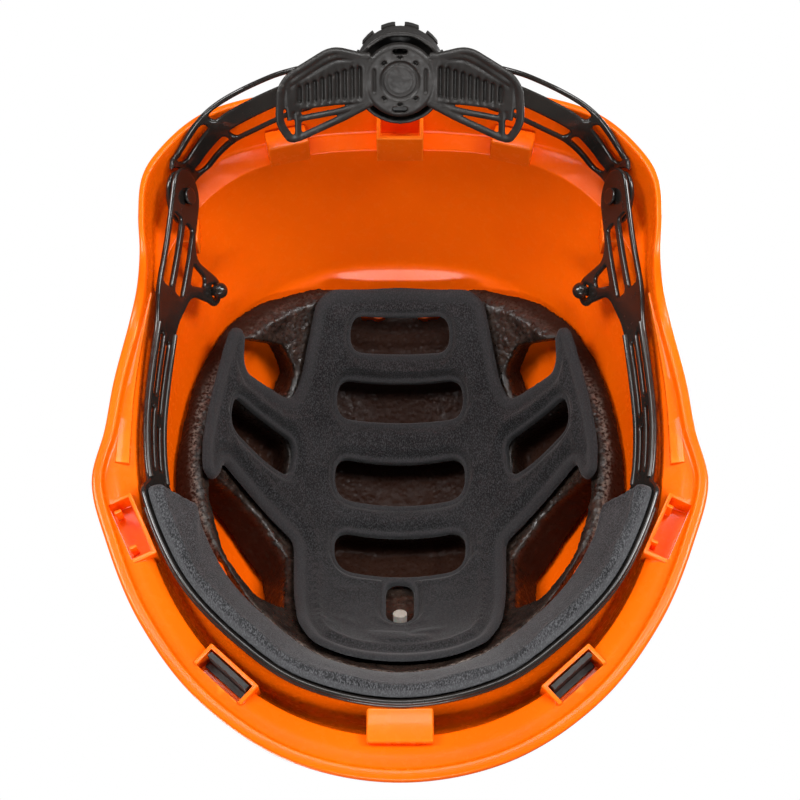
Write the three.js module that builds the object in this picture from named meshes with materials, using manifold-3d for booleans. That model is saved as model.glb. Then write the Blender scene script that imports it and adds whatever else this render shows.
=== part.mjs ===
// Arborist helmet, upper parts: hard shell, impact liner, crown and brow pads, headband and a nape
// device with a size knob. Millimetres. The origin is the centre of the head opening on the plane of
// the brim, the front of the helmet points along -Y, the wearer's left along +X and the crown along +Z.
import * as THREE from 'three';
import { mergeVertices } from 'three/addons/utils/BufferGeometryUtils.js';
import Module from 'manifold-3d';

const wasm = await Module();
wasm.setup();

const GAP = 0.3;
const FLATNESS = 0.08;

// Shell: a dome that is squarer at the rear than at the front, with a brim and a rear skirt.
const WALL = 3;
const HALF_WIDTH = 102.5;
const FRONT_REACH = 128.5;
const REAR_REACH = 121;
const CROWN_Z = 136;
const DOME_FULLNESS = 2.15;
const FRONT_FULLNESS = 1.5;
const FRONT_SQUARENESS = 2.1;
const REAR_SQUARENESS = 3;
const ROOF_SQUARENESS = 2.3;
const SHELL_COLUMNS = 56;
const LIP = 4;
const LEDGE_Z = 4;

// Rim from the middle of the front round the left side to the middle of the rear.
const RIM = [
  [0, -141, 0],
  [37.7, -133.8, 0],
  [69.2, -113.4, 0],
  [91.9, -85.1, 0],
  [105.9, -55.5, 0],
  [113, -32.3, 0],
  [110, -12, 0],
  [108.2, 8.3, 0],
  [103.9, 33.9, -1],
  [101.3, 45, -6],
  [99.7, 56, -14],
  [101.1, 72, -16],
  [100.7, 88, -17],
  [96.3, 98, -18],
  [79, 116.5, -19],
  [45, 127, -20],
  [0, 131, -20],
];

// Liner: its head side is an ellipsoid, its lower edge climbs towards the rear.
const HEAD_SIDE = { a: 91, b: 114, c: 111, y: 13 };
const LINER_COLUMNS = 36;
const ARM_RECESS = 12;

// Pads on the liner.
const PAD = 5;
const PATCH_RADIUS = 5;
const PATCH = 0.8;

// Headband: a cone of strip that leans inwards towards its top edge.
const LEAN = THREE.MathUtils.degToRad(24);
const BAND = 2;
const BROW_PAD = 6;
const BAND_TOP = 19;
const BAND_BOTTOM = -13;
const PIVOT = new THREE.Vector3(85.2, 87, -4);
const TAB_RADIUS = 9.5;

// Nape device, in its own frame: X across, Y up the plate, Z towards the head.
const NAPE_CENTRE = new THREE.Vector3(0, 109, -50);
const NAPE_TILT = THREE.MathUtils.degToRad(40);
const PLATE = 3;
const PLATE_RADIUS = 13.8;
const WING_CURVE = 60;
const HOUSING_RADIUS = 17.5;
const HOUSING_BACK = -12;
const KNOB_RADIUS = 18;
const KNOB_BACK = -21;
const KNOB_NOTCHES = 12;
const PINION_TEETH = 10;
const PINION_RADIUS = 4;
const TOOTH_PITCH = (2 * Math.PI * PINION_RADIUS) / PINION_TEETH;

const orange = new THREE.MeshStandardMaterial({ color: 0xf26400, roughness: 0.32, metalness: 0 });
const foam = new THREE.MeshStandardMaterial({ color: 0x2b211d, roughness: 0.55, metalness: 0 });
const fabric = new THREE.MeshStandardMaterial({ color: 0x2a2a2c, roughness: 0.95, metalness: 0 });
const loops = new THREE.MeshStandardMaterial({ color: 0x161616, roughness: 0.98, metalness: 0 });
const glossBlack = new THREE.MeshStandardMaterial({ color: 0x1b1513, roughness: 0.22, metalness: 0 });
const mattBlack = new THREE.MeshStandardMaterial({ color: 0x2b2826, roughness: 0.6, metalness: 0 });
const paleNylon = new THREE.MeshStandardMaterial({ color: 0xd9d4cc, roughness: 0.45, metalness: 0 });
const steel = new THREE.MeshStandardMaterial({ color: 0x9a9a9a, roughness: 0.35, metalness: 1 });

// ---- Solids ----

function solidOf(geometry) {
  const bare = geometry.clone();
  bare.deleteAttribute('normal');
  bare.deleteAttribute('uv');
  const merged = mergeVertices(bare, 1e-4);
  return new wasm.Manifold(new wasm.Mesh({
    numProp: 3,
    vertProperties: new Float32Array(merged.attributes.position.array),
    triVerts: new Uint32Array(merged.index.array),
  }));
}

function geometryOf(solid) {
  const mesh = solid.getMesh();
  const geometry = new THREE.BufferGeometry();
  geometry.setAttribute('position', new THREE.BufferAttribute(new Float32Array(mesh.vertProperties), 3));
  geometry.setIndex(new THREE.BufferAttribute(new Uint32Array(mesh.triVerts), 1));
  geometry.computeVertexNormals();
  return geometry;
}

function placed(geometry, matrix) {
  return solidOf(geometry.clone().applyMatrix4(matrix));
}

// A solid whose points go through a formula, after its long edges are split so that it can bend.
function bent(solid, edge, formula) {
  const geometry = geometryOf(solid.refineToLength(edge));
  const positions = geometry.attributes.position;
  const point = new THREE.Vector3();
  for (let i = 0; i < positions.count; i += 1) {
    const moved = formula(point.fromBufferAttribute(positions, i));
    positions.setXYZ(i, moved.x, moved.y, moved.z);
  }
  const result = solidOf(geometry);
  const outward = result.volume() < 0 ? turnedInsideOut(geometry) : result;
  return outward.simplify(FLATNESS);
}

function turnedInsideOut(geometry) {
  const index = geometry.index.array;
  for (let i = 0; i < index.length; i += 3) [index[i + 1], index[i + 2]] = [index[i + 2], index[i + 1]];
  return solidOf(geometry);
}

function plate(outline, depth, low) {
  const shape = new THREE.Shape(outline.map(([x, y]) => new THREE.Vector2(x, y)));
  const geometry = new THREE.ExtrudeGeometry(shape, { depth, bevelEnabled: false, steps: 1 });
  geometry.translate(0, 0, low);
  return solidOf(geometry);
}

function sheet(outline, holes, depth, low = 0) {
  const cutters = holes.map((hole) => plate(hole, depth + 2, low - 1));
  return cutters.reduce((solid, cutter) => solid.subtract(cutter), plate(outline, depth, low));
}

function box(size, centre, turn = 0) {
  const geometry = new THREE.BoxGeometry(...size);
  geometry.rotateZ(turn);
  geometry.translate(...centre);
  return solidOf(geometry);
}

function rod(radius, from, to, sides = 24) {
  const axis = to.clone().sub(from);
  const geometry = new THREE.CylinderGeometry(radius, radius, axis.length(), sides);
  geometry.rotateX(Math.PI / 2);
  const turn = new THREE.Quaternion().setFromUnitVectors(new THREE.Vector3(0, 0, 1), axis.clone().normalize());
  geometry.applyQuaternion(turn);
  geometry.translate(...from.clone().add(to).multiplyScalar(0.5));
  return solidOf(geometry);
}

function discAt(radius, low, high, sides = 32) {
  return rod(radius, new THREE.Vector3(0, 0, low), new THREE.Vector3(0, 0, high), sides);
}

// A body of columns set round the Z axis; every column starts at one pole and ends at the other.
function columnSolid(columns) {
  const inner = columns[0].length - 2;
  const positions = [...columns[0][0], ...columns[0][inner + 1]];
  for (const column of columns) for (const point of column.slice(1, -1)) positions.push(...point);
  const index = [];
  columns.forEach((_, i) => {
    const here = 2 + i * inner;
    const next = 2 + ((i + 1) % columns.length) * inner;
    index.push(0, here, next, 1, next + inner - 1, here + inner - 1);
    for (let j = 0; j < inner - 1; j += 1) {
      index.push(here + j, here + j + 1, next + j + 1, here + j, next + j + 1, next + j);
    }
  });
  const geometry = new THREE.BufferGeometry();
  geometry.setAttribute('position', new THREE.BufferAttribute(new Float32Array(positions), 3));
  geometry.setIndex(index);
  const solid = solidOf(geometry);
  return solid.volume() < 0 ? turnedInsideOut(geometry) : solid;
}

function mirrored(points) {
  return points.map(([x, y]) => [-x, y]).reverse();
}

function roundedRectangle(x, y, width, height, radius) {
  const points = [];
  for (let corner = 0; corner < 4; corner += 1) {
    const cx = x + (corner === 0 || corner === 3 ? 1 : -1) * (width / 2 - radius);
    const cy = y + (corner < 2 ? 1 : -1) * (height / 2 - radius);
    for (let step = 0; step <= 3; step += 1) {
      const angle = (corner + step / 3) * (Math.PI / 2);
      points.push([cx + radius * Math.cos(angle), cy + radius * Math.sin(angle)]);
    }
  }
  return points;
}

// ---- Shell ----

// How far the dome reaches from the Z axis at a bearing and a height, a distance inside its outer face.
function domeReach(bearing, z, inset = 0) {
  const rise = THREE.MathUtils.clamp(z / (CROWN_Z - inset), 0, 1);
  const rear = Math.sin(bearing) > 0;
  const base = rear ? REAR_SQUARENESS : FRONT_SQUARENESS;
  const power = base + (ROOF_SQUARENESS - base) * rise;
  const long = (rear ? REAR_REACH : FRONT_REACH) - inset;
  const across = Math.abs(Math.cos(bearing)) / (HALF_WIDTH - inset);
  const along = Math.abs(Math.sin(bearing)) / long;
  const front = Math.max(0, -Math.sin(bearing)) ** 2;
  const fullness = DOME_FULLNESS + (FRONT_FULLNESS - DOME_FULLNESS) * front;
  const level = (1 - rise ** fullness) ** (1 / fullness);
  return level / (across ** power + along ** power) ** (1 / power);
}

function at(bearing, reach, z) {
  return [reach * Math.cos(bearing), reach * Math.sin(bearing), z];
}

// Heights of a dome's rings, from the lowest up, closer together towards the crown.
function ringHeights(inset) {
  return [12, 24, 36, 48, 60, 71, 81].map((angle) => (CROWN_Z - inset) * Math.sin(THREE.MathUtils.degToRad(angle)));
}

function rimPoints() {
  const left = RIM.map((point) => new THREE.Vector3(...point));
  const right = RIM.slice(1, -1).reverse().map(([x, y, z]) => new THREE.Vector3(-x, y, z));
  const curve = new THREE.CatmullRomCurve3([...left, ...right], true, 'centripetal');
  return Array.from({ length: SHELL_COLUMNS }, (_, i) => curve.getPoint(i / SHELL_COLUMNS));
}

function shellColumn(rim) {
  const bearing = Math.atan2(rim.y, rim.x);
  const reach = Math.hypot(rim.x, rim.y);
  const skirt = THREE.MathUtils.clamp(-rim.z / 14, 0, 1);
  const ledge = LEDGE_Z + 2 * skirt;
  const foot = domeReach(bearing, ledge + 2.5, WALL);
  const lip = LIP - skirt;
  const shelf = foot + (reach - lip - 0.5 - foot) * (0.5 + 0.3 * skirt);
  return [
    [0, 0, CROWN_Z],
    ...ringHeights(0).reverse().map((z) => at(bearing, domeReach(bearing, z), z)),
    at(bearing, domeReach(bearing, ledge + 11), ledge + 11),
    at(bearing, shelf + WALL, ledge + WALL + 1),
    at(bearing, reach, rim.z + 3.5),
    at(bearing, reach, rim.z),
    at(bearing, reach - lip, rim.z),
    at(bearing, reach - lip - 0.5, rim.z + 2.5),
    at(bearing, shelf, ledge),
    at(bearing, foot, ledge + 2.5),
    ...ringHeights(WALL).map((z) => at(bearing, domeReach(bearing, z, WALL), z)),
    [0, 0, CROWN_Z - WALL],
  ];
}

// A box in the brim, open below, for an accessory's foot.
const SIDE_POCKET = { x: 97.2, y: -49.5, turn: 64, length: 26, width: 9.4, top: 13, wall: 2 };
const CLIP_POCKET = { x: 60.4, y: -103.6, turn: 41.5, length: 23, width: 9, top: 13, wall: 2 };
const REAR_POCKET = { x: 0, y: 119, turn: 0, length: 19, width: 13, top: 9, wall: 2 };

function pocketParts(pocket, side) {
  const turn = THREE.MathUtils.degToRad(pocket.turn) * side;
  const centre = [pocket.x * side, pocket.y];
  const inner = [pocket.length - 2 * pocket.wall, pocket.width - 2 * pocket.wall];
  const bottom = pocket === REAR_POCKET ? -7 : 1;
  const body = box([pocket.length, pocket.width, pocket.top - bottom], [...centre, (pocket.top + bottom) / 2], turn);
  const top = pocket.top - pocket.wall;
  const hollow = box([...inner, top - bottom + 2], [...centre, (top + bottom - 2) / 2], turn);
  return { body, hollow };
}

function shellSolid() {
  let shell = columnSolid(rimPoints().map(shellColumn));
  const pockets = [1, -1].flatMap((side) => [pocketParts(SIDE_POCKET, side), pocketParts(CLIP_POCKET, side)]);
  pockets.push(pocketParts(REAR_POCKET, 1));
  for (const { body } of pockets) shell = shell.add(body);
  for (const { hollow } of pockets) shell = shell.subtract(hollow);
  shell = shell.add(box([23, 12, 10], [0, -121.5, 7]));
  const plug = frontPlugAxis();
  const clear = plug.mouth.clone().lerp(plug.tip, 0.04);
  shell = shell.add(rod(4.5, clear, plug.to, 20)).subtract(rod(2.4, plug.mouth, plug.end, 16));
  for (const side of [1, -1]) {
    shell = shell.add(box([7, 11, 10], [85 * side, 81, 16]));
    const stud = studAxis(side);
    shell = shell.add(rod(4.5, stud.seat, stud.wall, 20)).subtract(rod(2.5, stud.ball, stud.bore, 16));
  }
  return shell.simplify(FLATNESS);
}

// ---- Liner and crown pad ----

function linerEdge(bearing, reach) {
  const rear = Math.max(0, Math.sin(bearing));
  const y = reach * Math.sin(bearing);
  return 50 + (y > 0 ? 0.22 : 0.12) * y + 12 * rear ** 6;
}

function headSideReach(bearing, z) {
  const { a, b, c, y } = HEAD_SIDE;
  const cos = Math.cos(bearing) / a;
  const sin = Math.sin(bearing) / b;
  const square = cos * cos + sin * sin;
  const half = (sin * y) / b;
  const rest = (y / b) ** 2 - 1 + (z / c) ** 2;
  return (half + Math.sqrt(Math.max(0, half * half - square * rest))) / square;
}

function linerOutsideColumn(bearing) {
  const inset = WALL + 0.8;
  const wall = ringHeights(inset).reverse().map((z) => at(bearing, domeReach(bearing, z, inset), z));
  return [[0, 0, CROWN_Z - inset], ...wall, [0, 0, wall.at(-1)[2]]];
}

function headSideColumn(bearing) {
  const top = HEAD_SIDE.c * Math.sqrt(1 - (HEAD_SIDE.y / HEAD_SIDE.b) ** 2);
  const column = [[0, 0, top]];
  for (let turn = 80; turn >= 0; turn -= 10) {
    const z = 10 + (top - 10) * Math.sin(THREE.MathUtils.degToRad(turn));
    column.push(at(bearing, headSideReach(bearing, z), z));
  }
  return [...column, [0, 0, 10]];
}

// What lies below the liner: from a ridge near its head side, its lower edge slopes up to the shell.
function belowLinerColumn(bearing) {
  const ridge = headSideReach(bearing, 48) + 4;
  const edge = [60, ridge].map((reach) => at(bearing, reach, linerEdge(bearing, reach)));
  const slope = at(bearing, 130, linerEdge(bearing, 130) + 0.7 * (130 - ridge));
  return [[0, 0, 48], ...edge, slope, at(bearing, 130, -60), [0, 0, -60]];
}

// A point of the liner's head side: p and q are degrees away from straight up, towards the left and the
// rear; lift goes from that face towards the head.
function onHeadSide(p, q, lift) {
  const away = THREE.MathUtils.degToRad(Math.hypot(p, q));
  const bearing = Math.atan2(q, p);
  const { a, b, c, y } = HEAD_SIDE;
  const unit = new THREE.Vector3(
    Math.sin(away) * Math.cos(bearing),
    Math.sin(away) * Math.sin(bearing),
    Math.cos(away),
  );
  const normal = new THREE.Vector3(unit.x / a, unit.y / b, unit.z / c).normalize();
  return new THREE.Vector3(unit.x * a, unit.y * b + y, unit.z * c).addScaledVector(normal, -lift);
}

function overHeadSide(solid, edge = 9) {
  return bent(solid, edge, ({ x, y, z }) => onHeadSide(x, y, z));
}

const PAD_OUTLINE = [
  [18, -63.5], [27, -61], [31, -51.5], [31.5, -39.4], [31, -21.3], [36, -18.5], [46.8, -12.2], [56, -7.8],
  [57.5, -12.9], [60.4, -16], [64, -15], [64.6, -7], [62.8, 3.7], [60.2, 15.4], [57.1, 27.7], [51.6, 28.7],
  [51, 20.9], [49.4, 18.4], [33.2, 14.9], [30.5, 20.6], [27.3, 38.7], [25.8, 40.8], [22, 43.3], [0, 44.7],
];
const ARM_SLIT = [[53.5, 11.1], [32.9, 5.1], [32.2, 2.3], [33.4, -4.3], [40.5, -2.6], [53.3, 2.3], [54.4, 5.1]];
const UPPER_WINDOW = [[49.5, 26.5], [36, 27.9], [31.4, 22.9], [33.5, 16], [48.5, 19.5]];
const LOWER_WINDOW = [
  [58.5, -11], [58.5, -20], [52.8, -36.5], [43, -45], [33.5, -43], [32.4, -25], [40.1, -17.6], [47.5, -13.4],
];
const PAD_SLOTS = [
  { q: 33.2, width: 31, height: 8.5, recess: 6 },
  { q: 17.6, width: 38, height: 8.9, recess: 9 },
  { q: -1.5, width: 38, height: 10.2, recess: 12 },
  { q: -21.1, width: 38, height: 11.4, recess: 12 },
];
const PIN_SLOT = { q: -36.6, width: 8, height: 14 };
const PIN_Q = -40.4;
const PATCH_SPOTS = [[0, 41.2], [26, 27], [-26, 27], [24, -48], [-24, -48]];

function slotOutline({ q, width, height }, grow = 0) {
  const tall = height + 2 * grow;
  const wide = width + 2 * grow;
  return roundedRectangle(0, q, wide, tall, 0.45 * Math.min(tall, wide));
}

function linerSolid() {
  const bearings = Array.from({ length: LINER_COLUMNS }, (_, i) => (2 * Math.PI * i) / LINER_COLUMNS);
  const everySecond = rimPoints().filter((_, i) => i % 2 === 0);
  const outside = everySecond.map(({ x, y }) => linerOutsideColumn(Math.atan2(y, x)));
  let liner = columnSolid(outside).subtract(columnSolid(bearings.map(headSideColumn)));
  liner = liner.subtract(columnSolid(bearings.map(belowLinerColumn)));
  for (const window of [UPPER_WINDOW, LOWER_WINDOW]) {
    for (const outline of [window, mirrored(window)]) {
      liner = liner.subtract(overHeadSide(sheet(outline, [], 60, -50), 14));
    }
  }
  const recesses = [ARM_SLIT, mirrored(ARM_SLIT)].map((outline) => ({ outline, recess: ARM_RECESS }));
  for (const slot of PAD_SLOTS) recesses.push({ outline: slotOutline(slot, 0.8), recess: slot.recess });
  for (const { outline, recess } of recesses) {
    liner = liner.subtract(overHeadSide(sheet(outline, [], recess + 8, -recess), 14));
  }
  const pin = pinAxis();
  return liner.subtract(rod(2.3, pin.tip, pin.bottom, 16)).simplify(2 * FLATNESS);
}

function crownPadSolid() {
  const holes = [ARM_SLIT, mirrored(ARM_SLIT), ...PAD_SLOTS.map((slot) => slotOutline(slot)), slotOutline(PIN_SLOT)];
  const outline = [...PAD_OUTLINE, ...mirrored(PAD_OUTLINE).slice(1)];
  return overHeadSide(sheet(outline, holes, PAD, PATCH + 4 * GAP), 10);
}

function patchSolid([p, q]) {
  const outline = Array.from({ length: 16 }, (_, i) => {
    const angle = (2 * Math.PI * i) / 16;
    const spread = 180 / Math.PI / 105;
    return [p + PATCH_RADIUS * spread * Math.cos(angle), q + PATCH_RADIUS * spread * Math.sin(angle)];
  });
  return overHeadSide(sheet(outline, [], PATCH, 3 * GAP), 9);
}

// The pale pin stands in the liner and comes up through the pad's small slot.
function pinAxis() {
  const tip = onHeadSide(0, PIN_Q, 4.5);
  const seat = onHeadSide(0, PIN_Q, 0);
  const into = seat.clone().sub(tip).normalize();
  const bottom = seat.clone().addScaledVector(into, 9);
  return { tip, seat, bottom, into };
}

function pinSolid() {
  const { seat, bottom, into, tip } = pinAxis();
  const under = seat.clone().addScaledVector(into, -3 * GAP);
  const end = bottom.clone().addScaledVector(into, -GAP);
  return rod(2.9, tip, under, 20).add(rod(2, under, end, 16));
}

// ---- Headband ----

const BAND_PATH = [
  [0, -109.2], [33, -102.2], [54, -87.8], [71, -70.8], [80.6, -55.3], [90, -31.5], [93.5, -8], [93.2, 18],
  [90.8, 45], [87.4, 69], [85.2, 87], [83.8, 100],
];
const bandCurve = new THREE.CatmullRomCurve3(
  [...BAND_PATH.slice(1).reverse().map(([x, y]) => new THREE.Vector3(-x, y, 0)),
    ...BAND_PATH.map(([x, y]) => new THREE.Vector3(x, y, 0))],
  false,
  'centripetal',
);
const BAND_LENGTH = bandCurve.getLength();
const pivotS = bandLengthTo(PIVOT.y);

// Distance along the band from its front middle to where it passes a given Y on the left side.
function bandLengthTo(y) {
  let low = 0;
  let high = BAND_LENGTH / 2;
  for (let pass = 0; pass < 30; pass += 1) {
    const middle = (low + high) / 2;
    if (bandCurve.getPointAt(0.5 + middle / BAND_LENGTH).y < y) low = middle;
    else high = middle;
  }
  return low;
}

function bandMiddleZ(s) {
  const back = Math.max(0, (Math.abs(s) - 170) / (pivotS - 170));
  return THREE.MathUtils.lerp(12, PIVOT.z, back * back);
}

// s runs along the band from its front middle, h up its face, t outwards through its thickness.
function onBand(s, h, t) {
  const u = 0.5 + s / BAND_LENGTH;
  const point = bandCurve.getPointAt(THREE.MathUtils.clamp(u, 0, 1));
  const along = bandCurve.getTangentAt(THREE.MathUtils.clamp(u, 0, 1));
  const out = new THREE.Vector3(along.y, -along.x, 0);
  const up = new THREE.Vector3(0, 0, Math.cos(LEAN)).addScaledVector(out, -Math.sin(LEAN));
  const normal = out.clone().multiplyScalar(Math.cos(LEAN));
  normal.z = Math.sin(LEAN);
  point.z = bandMiddleZ(s);
  return point.addScaledVector(up, h).addScaledVector(normal, t);
}

function overBand(solid, edge) {
  return bent(solid, edge, ({ x, y, z }) => onBand(x, y, z));
}

const STUD = { s: pivotS - 22.5, h: 28 };
const PLUG_H = 0;
const HOOK = 5.5;
const BROW_END = 126;
const BROW_TAPER = 8;

function arc(x, y, radius, from, to, steps) {
  return Array.from({ length: steps + 1 }, (_, i) => {
    const angle = THREE.MathUtils.degToRad(from + ((to - from) * i) / steps);
    return [x + radius * Math.cos(angle), y + radius * Math.sin(angle)];
  });
}

function ring(x, y, radius, sides) {
  return arc(x, y, radius, 0, 360 - 360 / sides, sides - 1);
}

function bandOutline() {
  const fork = pivotS - 40;
  const half = [
    [BROW_END - 1, BAND_BOTTOM],
    [BROW_END + 1.5, BAND_BOTTOM + 2.5],
    [BROW_END + 4, -6.5],
    [fork - 12, -6.5],
    [fork, -TAB_RADIUS],
    ...arc(pivotS, 0, TAB_RADIUS, -90, 90, 8),
    [pivotS - 12, TAB_RADIUS],
    [STUD.s + 5, TAB_RADIUS + 3],
    ...arc(STUD.s, STUD.h, HOOK, -10, 190, 8),
    [STUD.s - 9, TAB_RADIUS + 3],
    [fork - 8, 7],
    [BROW_END + 4, 7],
    [BROW_END - BROW_TAPER, BAND_TOP],
  ];
  return [...half, ...mirrored(half)];
}

function bandHoles() {
  const fork = pivotS - 40;
  const armStart = BROW_END + 9;
  const middle = (armStart + fork - 14) / 2;
  const tall = { low: -1.6, high: 1.6 };
  const slots = [
    [armStart, tall.low, middle - 2, tall.high],
    [middle + 2, tall.low, fork - 14, tall.high],
    [fork + 4, -7.6, pivotS - 9, -3.6],
    [fork + 4, 3.6, pivotS - 9, 7.2],
  ];
  const holes = slots.map(([s0, h0, s1, h1]) => [[s0, h0], [s1, h0], [s1, h1], [s0, h1]]);
  holes.push([[STUD.s - 6.2, 11], [STUD.s + 2.2, 11], [STUD.s + 1.4, 20.5], [STUD.s - 2.4, 20.5]]);
  holes.push(ring(STUD.s, STUD.h, 2.5, 12), ring(pivotS, 0, 2.2, 12));
  return [...holes, ...holes.map(mirrored), ring(0, PLUG_H, 2.5, 12)];
}

function headbandSolid() {
  return overBand(sheet(bandOutline(), bandHoles(), BAND, -BAND / 2), 14);
}

function browPadSolid() {
  const corner = 4;
  const low = BAND_BOTTOM + 1;
  const high = BAND_TOP + 1;
  const half = [
    ...arc(BROW_END - corner, low + corner, corner, -90, 0, 3),
    ...arc(BROW_END - 2 - corner, high - corner, corner, 0, 90, 3),
  ];
  const flat = sheet([...half, ...mirrored(half)], [], BROW_PAD, -BAND / 2 - 5 * GAP - BROW_PAD);
  return overBand(flat, 14);
}

// The stud that holds a side hook to the shell, square to the band's face.
function studAxis(side) {
  const seatPoint = onBand(STUD.s * side, STUD.h, 0);
  const out = onBand(STUD.s * side, STUD.h, 1).sub(seatPoint);
  const along = (distance) => seatPoint.clone().addScaledVector(out, distance);
  return { ball: along(-3.2), seat: along(1 + 3 * GAP), bore: along(10), wall: along(18.5), shankEnd: along(9.5) };
}

function studSolid(side) {
  const { ball, shankEnd } = studAxis(side);
  const head = new THREE.SphereGeometry(3.4, 14, 9);
  head.translate(...ball);
  const flatSide = studAxis(side);
  const out = flatSide.seat.clone().sub(ball).normalize();
  const under = ball.clone().addScaledVector(out, 3.2 - 1 - 2 * GAP);
  const trim = rod(6, under, under.clone().addScaledVector(out, 6), 12);
  return solidOf(head).subtract(trim).add(rod(2, ball, shankEnd, 12));
}

// The plug that holds the middle of the band to a boss on the front wall, square to the band.
function frontPlugAxis() {
  const seat = onBand(0, PLUG_H, 0);
  const out = onBand(0, PLUG_H, 1).sub(seat);
  const along = (distance) => seat.clone().addScaledVector(out, distance);
  return { head: along(-1), collar: along(1 + GAP), mouth: along(2.2), tip: along(12), end: along(12.5), to: along(15) };
}

function frontPlugSolid() {
  const { head, collar, mouth, tip } = frontPlugAxis();
  return rod(2, head, tip, 12).add(rod(3.4, collar, mouth, 16));
}

// ---- Rear straps ----

const STRAP_PATH = [
  [85.2, 87, -4], [84, 95.5, -5], [78.6, 101.9, -11], [70.2, 106.9, -21], [58.8, 109.2, -30.5],
  [47, 109.6, -39], [36, 109, -45],
];
const STRAP_OUT = 2.8;
const STRAP = 2;
const STRAP_TOP = 9.5;
const strapCurve = new THREE.CatmullRomCurve3(
  STRAP_PATH.map((point) => new THREE.Vector3(...point)),
  false,
  'centripetal',
);
const STRAP_LENGTH = strapCurve.getLength();
const START_UP = new THREE.Vector3(-Math.sin(LEAN), 0, Math.cos(LEAN));
const END_UP = new THREE.Vector3(0, -Math.sin(NAPE_TILT), Math.cos(NAPE_TILT));

// s runs from the pivot towards the nape, h up the strap's face, t outwards. Round the pivot the strap
// lies against the headband's tab, then it leaves it for its own path.
function onStrap(s, h, t) {
  const tab = onBand(pivotS + Math.min(s, 14), h, t + STRAP_OUT);
  if (s <= 0) return tab;
  const u = Math.min(1, s / STRAP_LENGTH);
  const along = strapCurve.getTangentAt(u);
  const turn = THREE.MathUtils.smoothstep(u, 0.1, 0.8);
  const up = START_UP.clone().lerp(END_UP, turn);
  up.addScaledVector(along, -up.dot(along)).normalize();
  const out = new THREE.Vector3().crossVectors(along, up).normalize();
  const point = strapCurve.getPointAt(u).addScaledVector(up, h).addScaledVector(out, t + STRAP_OUT);
  return tab.lerp(point, THREE.MathUtils.smoothstep(s, 7, 15));
}

function strapSolid(side) {
  const end = STRAP_LENGTH;
  const outline = [
    ...arc(0, 0, TAB_RADIUS - 0.5, 90, 270, 10),
    [12, -STRAP_TOP],
    [end, -STRAP_TOP + 1],
    [end, STRAP_TOP - 1],
    [12, STRAP_TOP],
  ];
  const cross = 0.42 * end;
  const spans = [[11, cross - 1.5], [cross + 1.5, end - 3]];
  const holes = spans.flatMap(([s0, s1]) => [
    [[s0, -8], [s1, -7.4], [s1, -3.2], [s0, -3.2]],
    [[s0, 3.2], [s1, 3.2], [s1, 7.4], [s0, 8]],
  ]);
  holes.push(ring(0, 0, 2.2, 12));
  return bent(sheet(outline, holes, STRAP, -STRAP / 2), 9, ({ x, y, z }) => {
    const point = onStrap(x, y, z);
    point.x *= side;
    return point;
  });
}

// The rivet through the two tabs.
function rivetSolid(side) {
  const centre = onBand(pivotS * side, 0, 0);
  const out = onBand(pivotS * side, 0, 1).sub(centre);
  const [inner, neck, outer, tip] = [-2.9, -1 - 3 * GAP, STRAP_OUT + 1 + 3 * GAP, STRAP_OUT + 2.8].map(
    (distance) => centre.clone().addScaledVector(out, distance),
  );
  return rod(1.6, inner, tip, 12).add(rod(3.4, inner, neck, 16)).add(rod(3.4, outer, tip, 16));
}

// ---- Nape device ----

const napeFrame = new THREE.Matrix4().makeBasis(
  new THREE.Vector3(1, 0, 0),
  END_UP,
  new THREE.Vector3(0, -Math.cos(NAPE_TILT), -Math.sin(NAPE_TILT)),
).setPosition(NAPE_CENTRE);

function onNape(solid) {
  return placed(geometryOf(solid), napeFrame);
}

const WING = [
  [9, -9.8], [13.8, -9.8], [25.2, -13.9], [41.3, -5.3], [45, -0.5], [46, 12.8], [41.3, 20.7], [37.2, 20.3],
  [20.5, 14.7], [9, 9.2],
];
const WING_WINDOWS = [
  [[18.6, -8.1], [25.2, -10.8], [39.2, -3.2], [38.6, 0], [19.4, -6.5]],
  [[17, 9.4], [36.4, 9.8], [36.4, 17.2], [21, 12]],
  [[39.4, 11.4], [43, 10.4], [43.2, 12.4], [40, 17.8]],
];
const RIBS = 7;

function wingSolid() {
  const slots = Array.from({ length: RIBS }, (_, i) => {
    const x = 14.6 + 3.55 * i;
    const low = -5 + i;
    const high = 6.7;
    return [[x - 0.8, low], [x + 0.8, low], [x + 0.8, high], [x - 0.8, high]];
  });
  const whole = sheet(WING, WING_WINDOWS, PLATE, -PLATE);
  const flat = slots.reduce((solid, slot) => solid.subtract(plate(slot, PLATE, 0.8 - PLATE)), whole);
  return bent(flat, 9, ({ x, y, z }) => new THREE.Vector3(x, y, z + (x * x) / (2 * WING_CURVE)));
}

function cradleSolid() {
  const wing = wingSolid();
  const other = bent(wing, 50, ({ x, y, z }) => new THREE.Vector3(-x, y, z));
  const hub = discAt(PLATE_RADIUS, -PLATE, 1.4, 40);
  let cradle = hub.add(wing).add(other).subtract(discAt(6.9, -5, 5));
  for (const side of [1, -1]) {
    cradle = cradle.subtract(box([5.5, 2, 12], [0, 10.4 * side, 0]));
    for (const angle of [35, 145]) {
      const [[x, y]] = arc(0, 0, 10.4, angle * side, 0, 1);
      const hole = discAt(0.9, -6, 6, 12);
      cradle = cradle.subtract(hole.translate([x, y, 0]));
    }
  }
  return onNape(cradle);
}

function capSolid() {
  return onNape(discAt(6.6, -2.4, 0.9));
}

function housingSolid() {
  const front = -PLATE - GAP;
  const cup = discAt(HOUSING_RADIUS, HOUSING_BACK, front, 40).subtract(discAt(15.9, HOUSING_BACK + 1.3, front + 1, 40));
  const channel = box([60, 18, 4], [0, 0, -6.8]);
  return onNape(cup.subtract(channel).subtract(discAt(5, HOUSING_BACK - 1, front, 24)));
}

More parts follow.
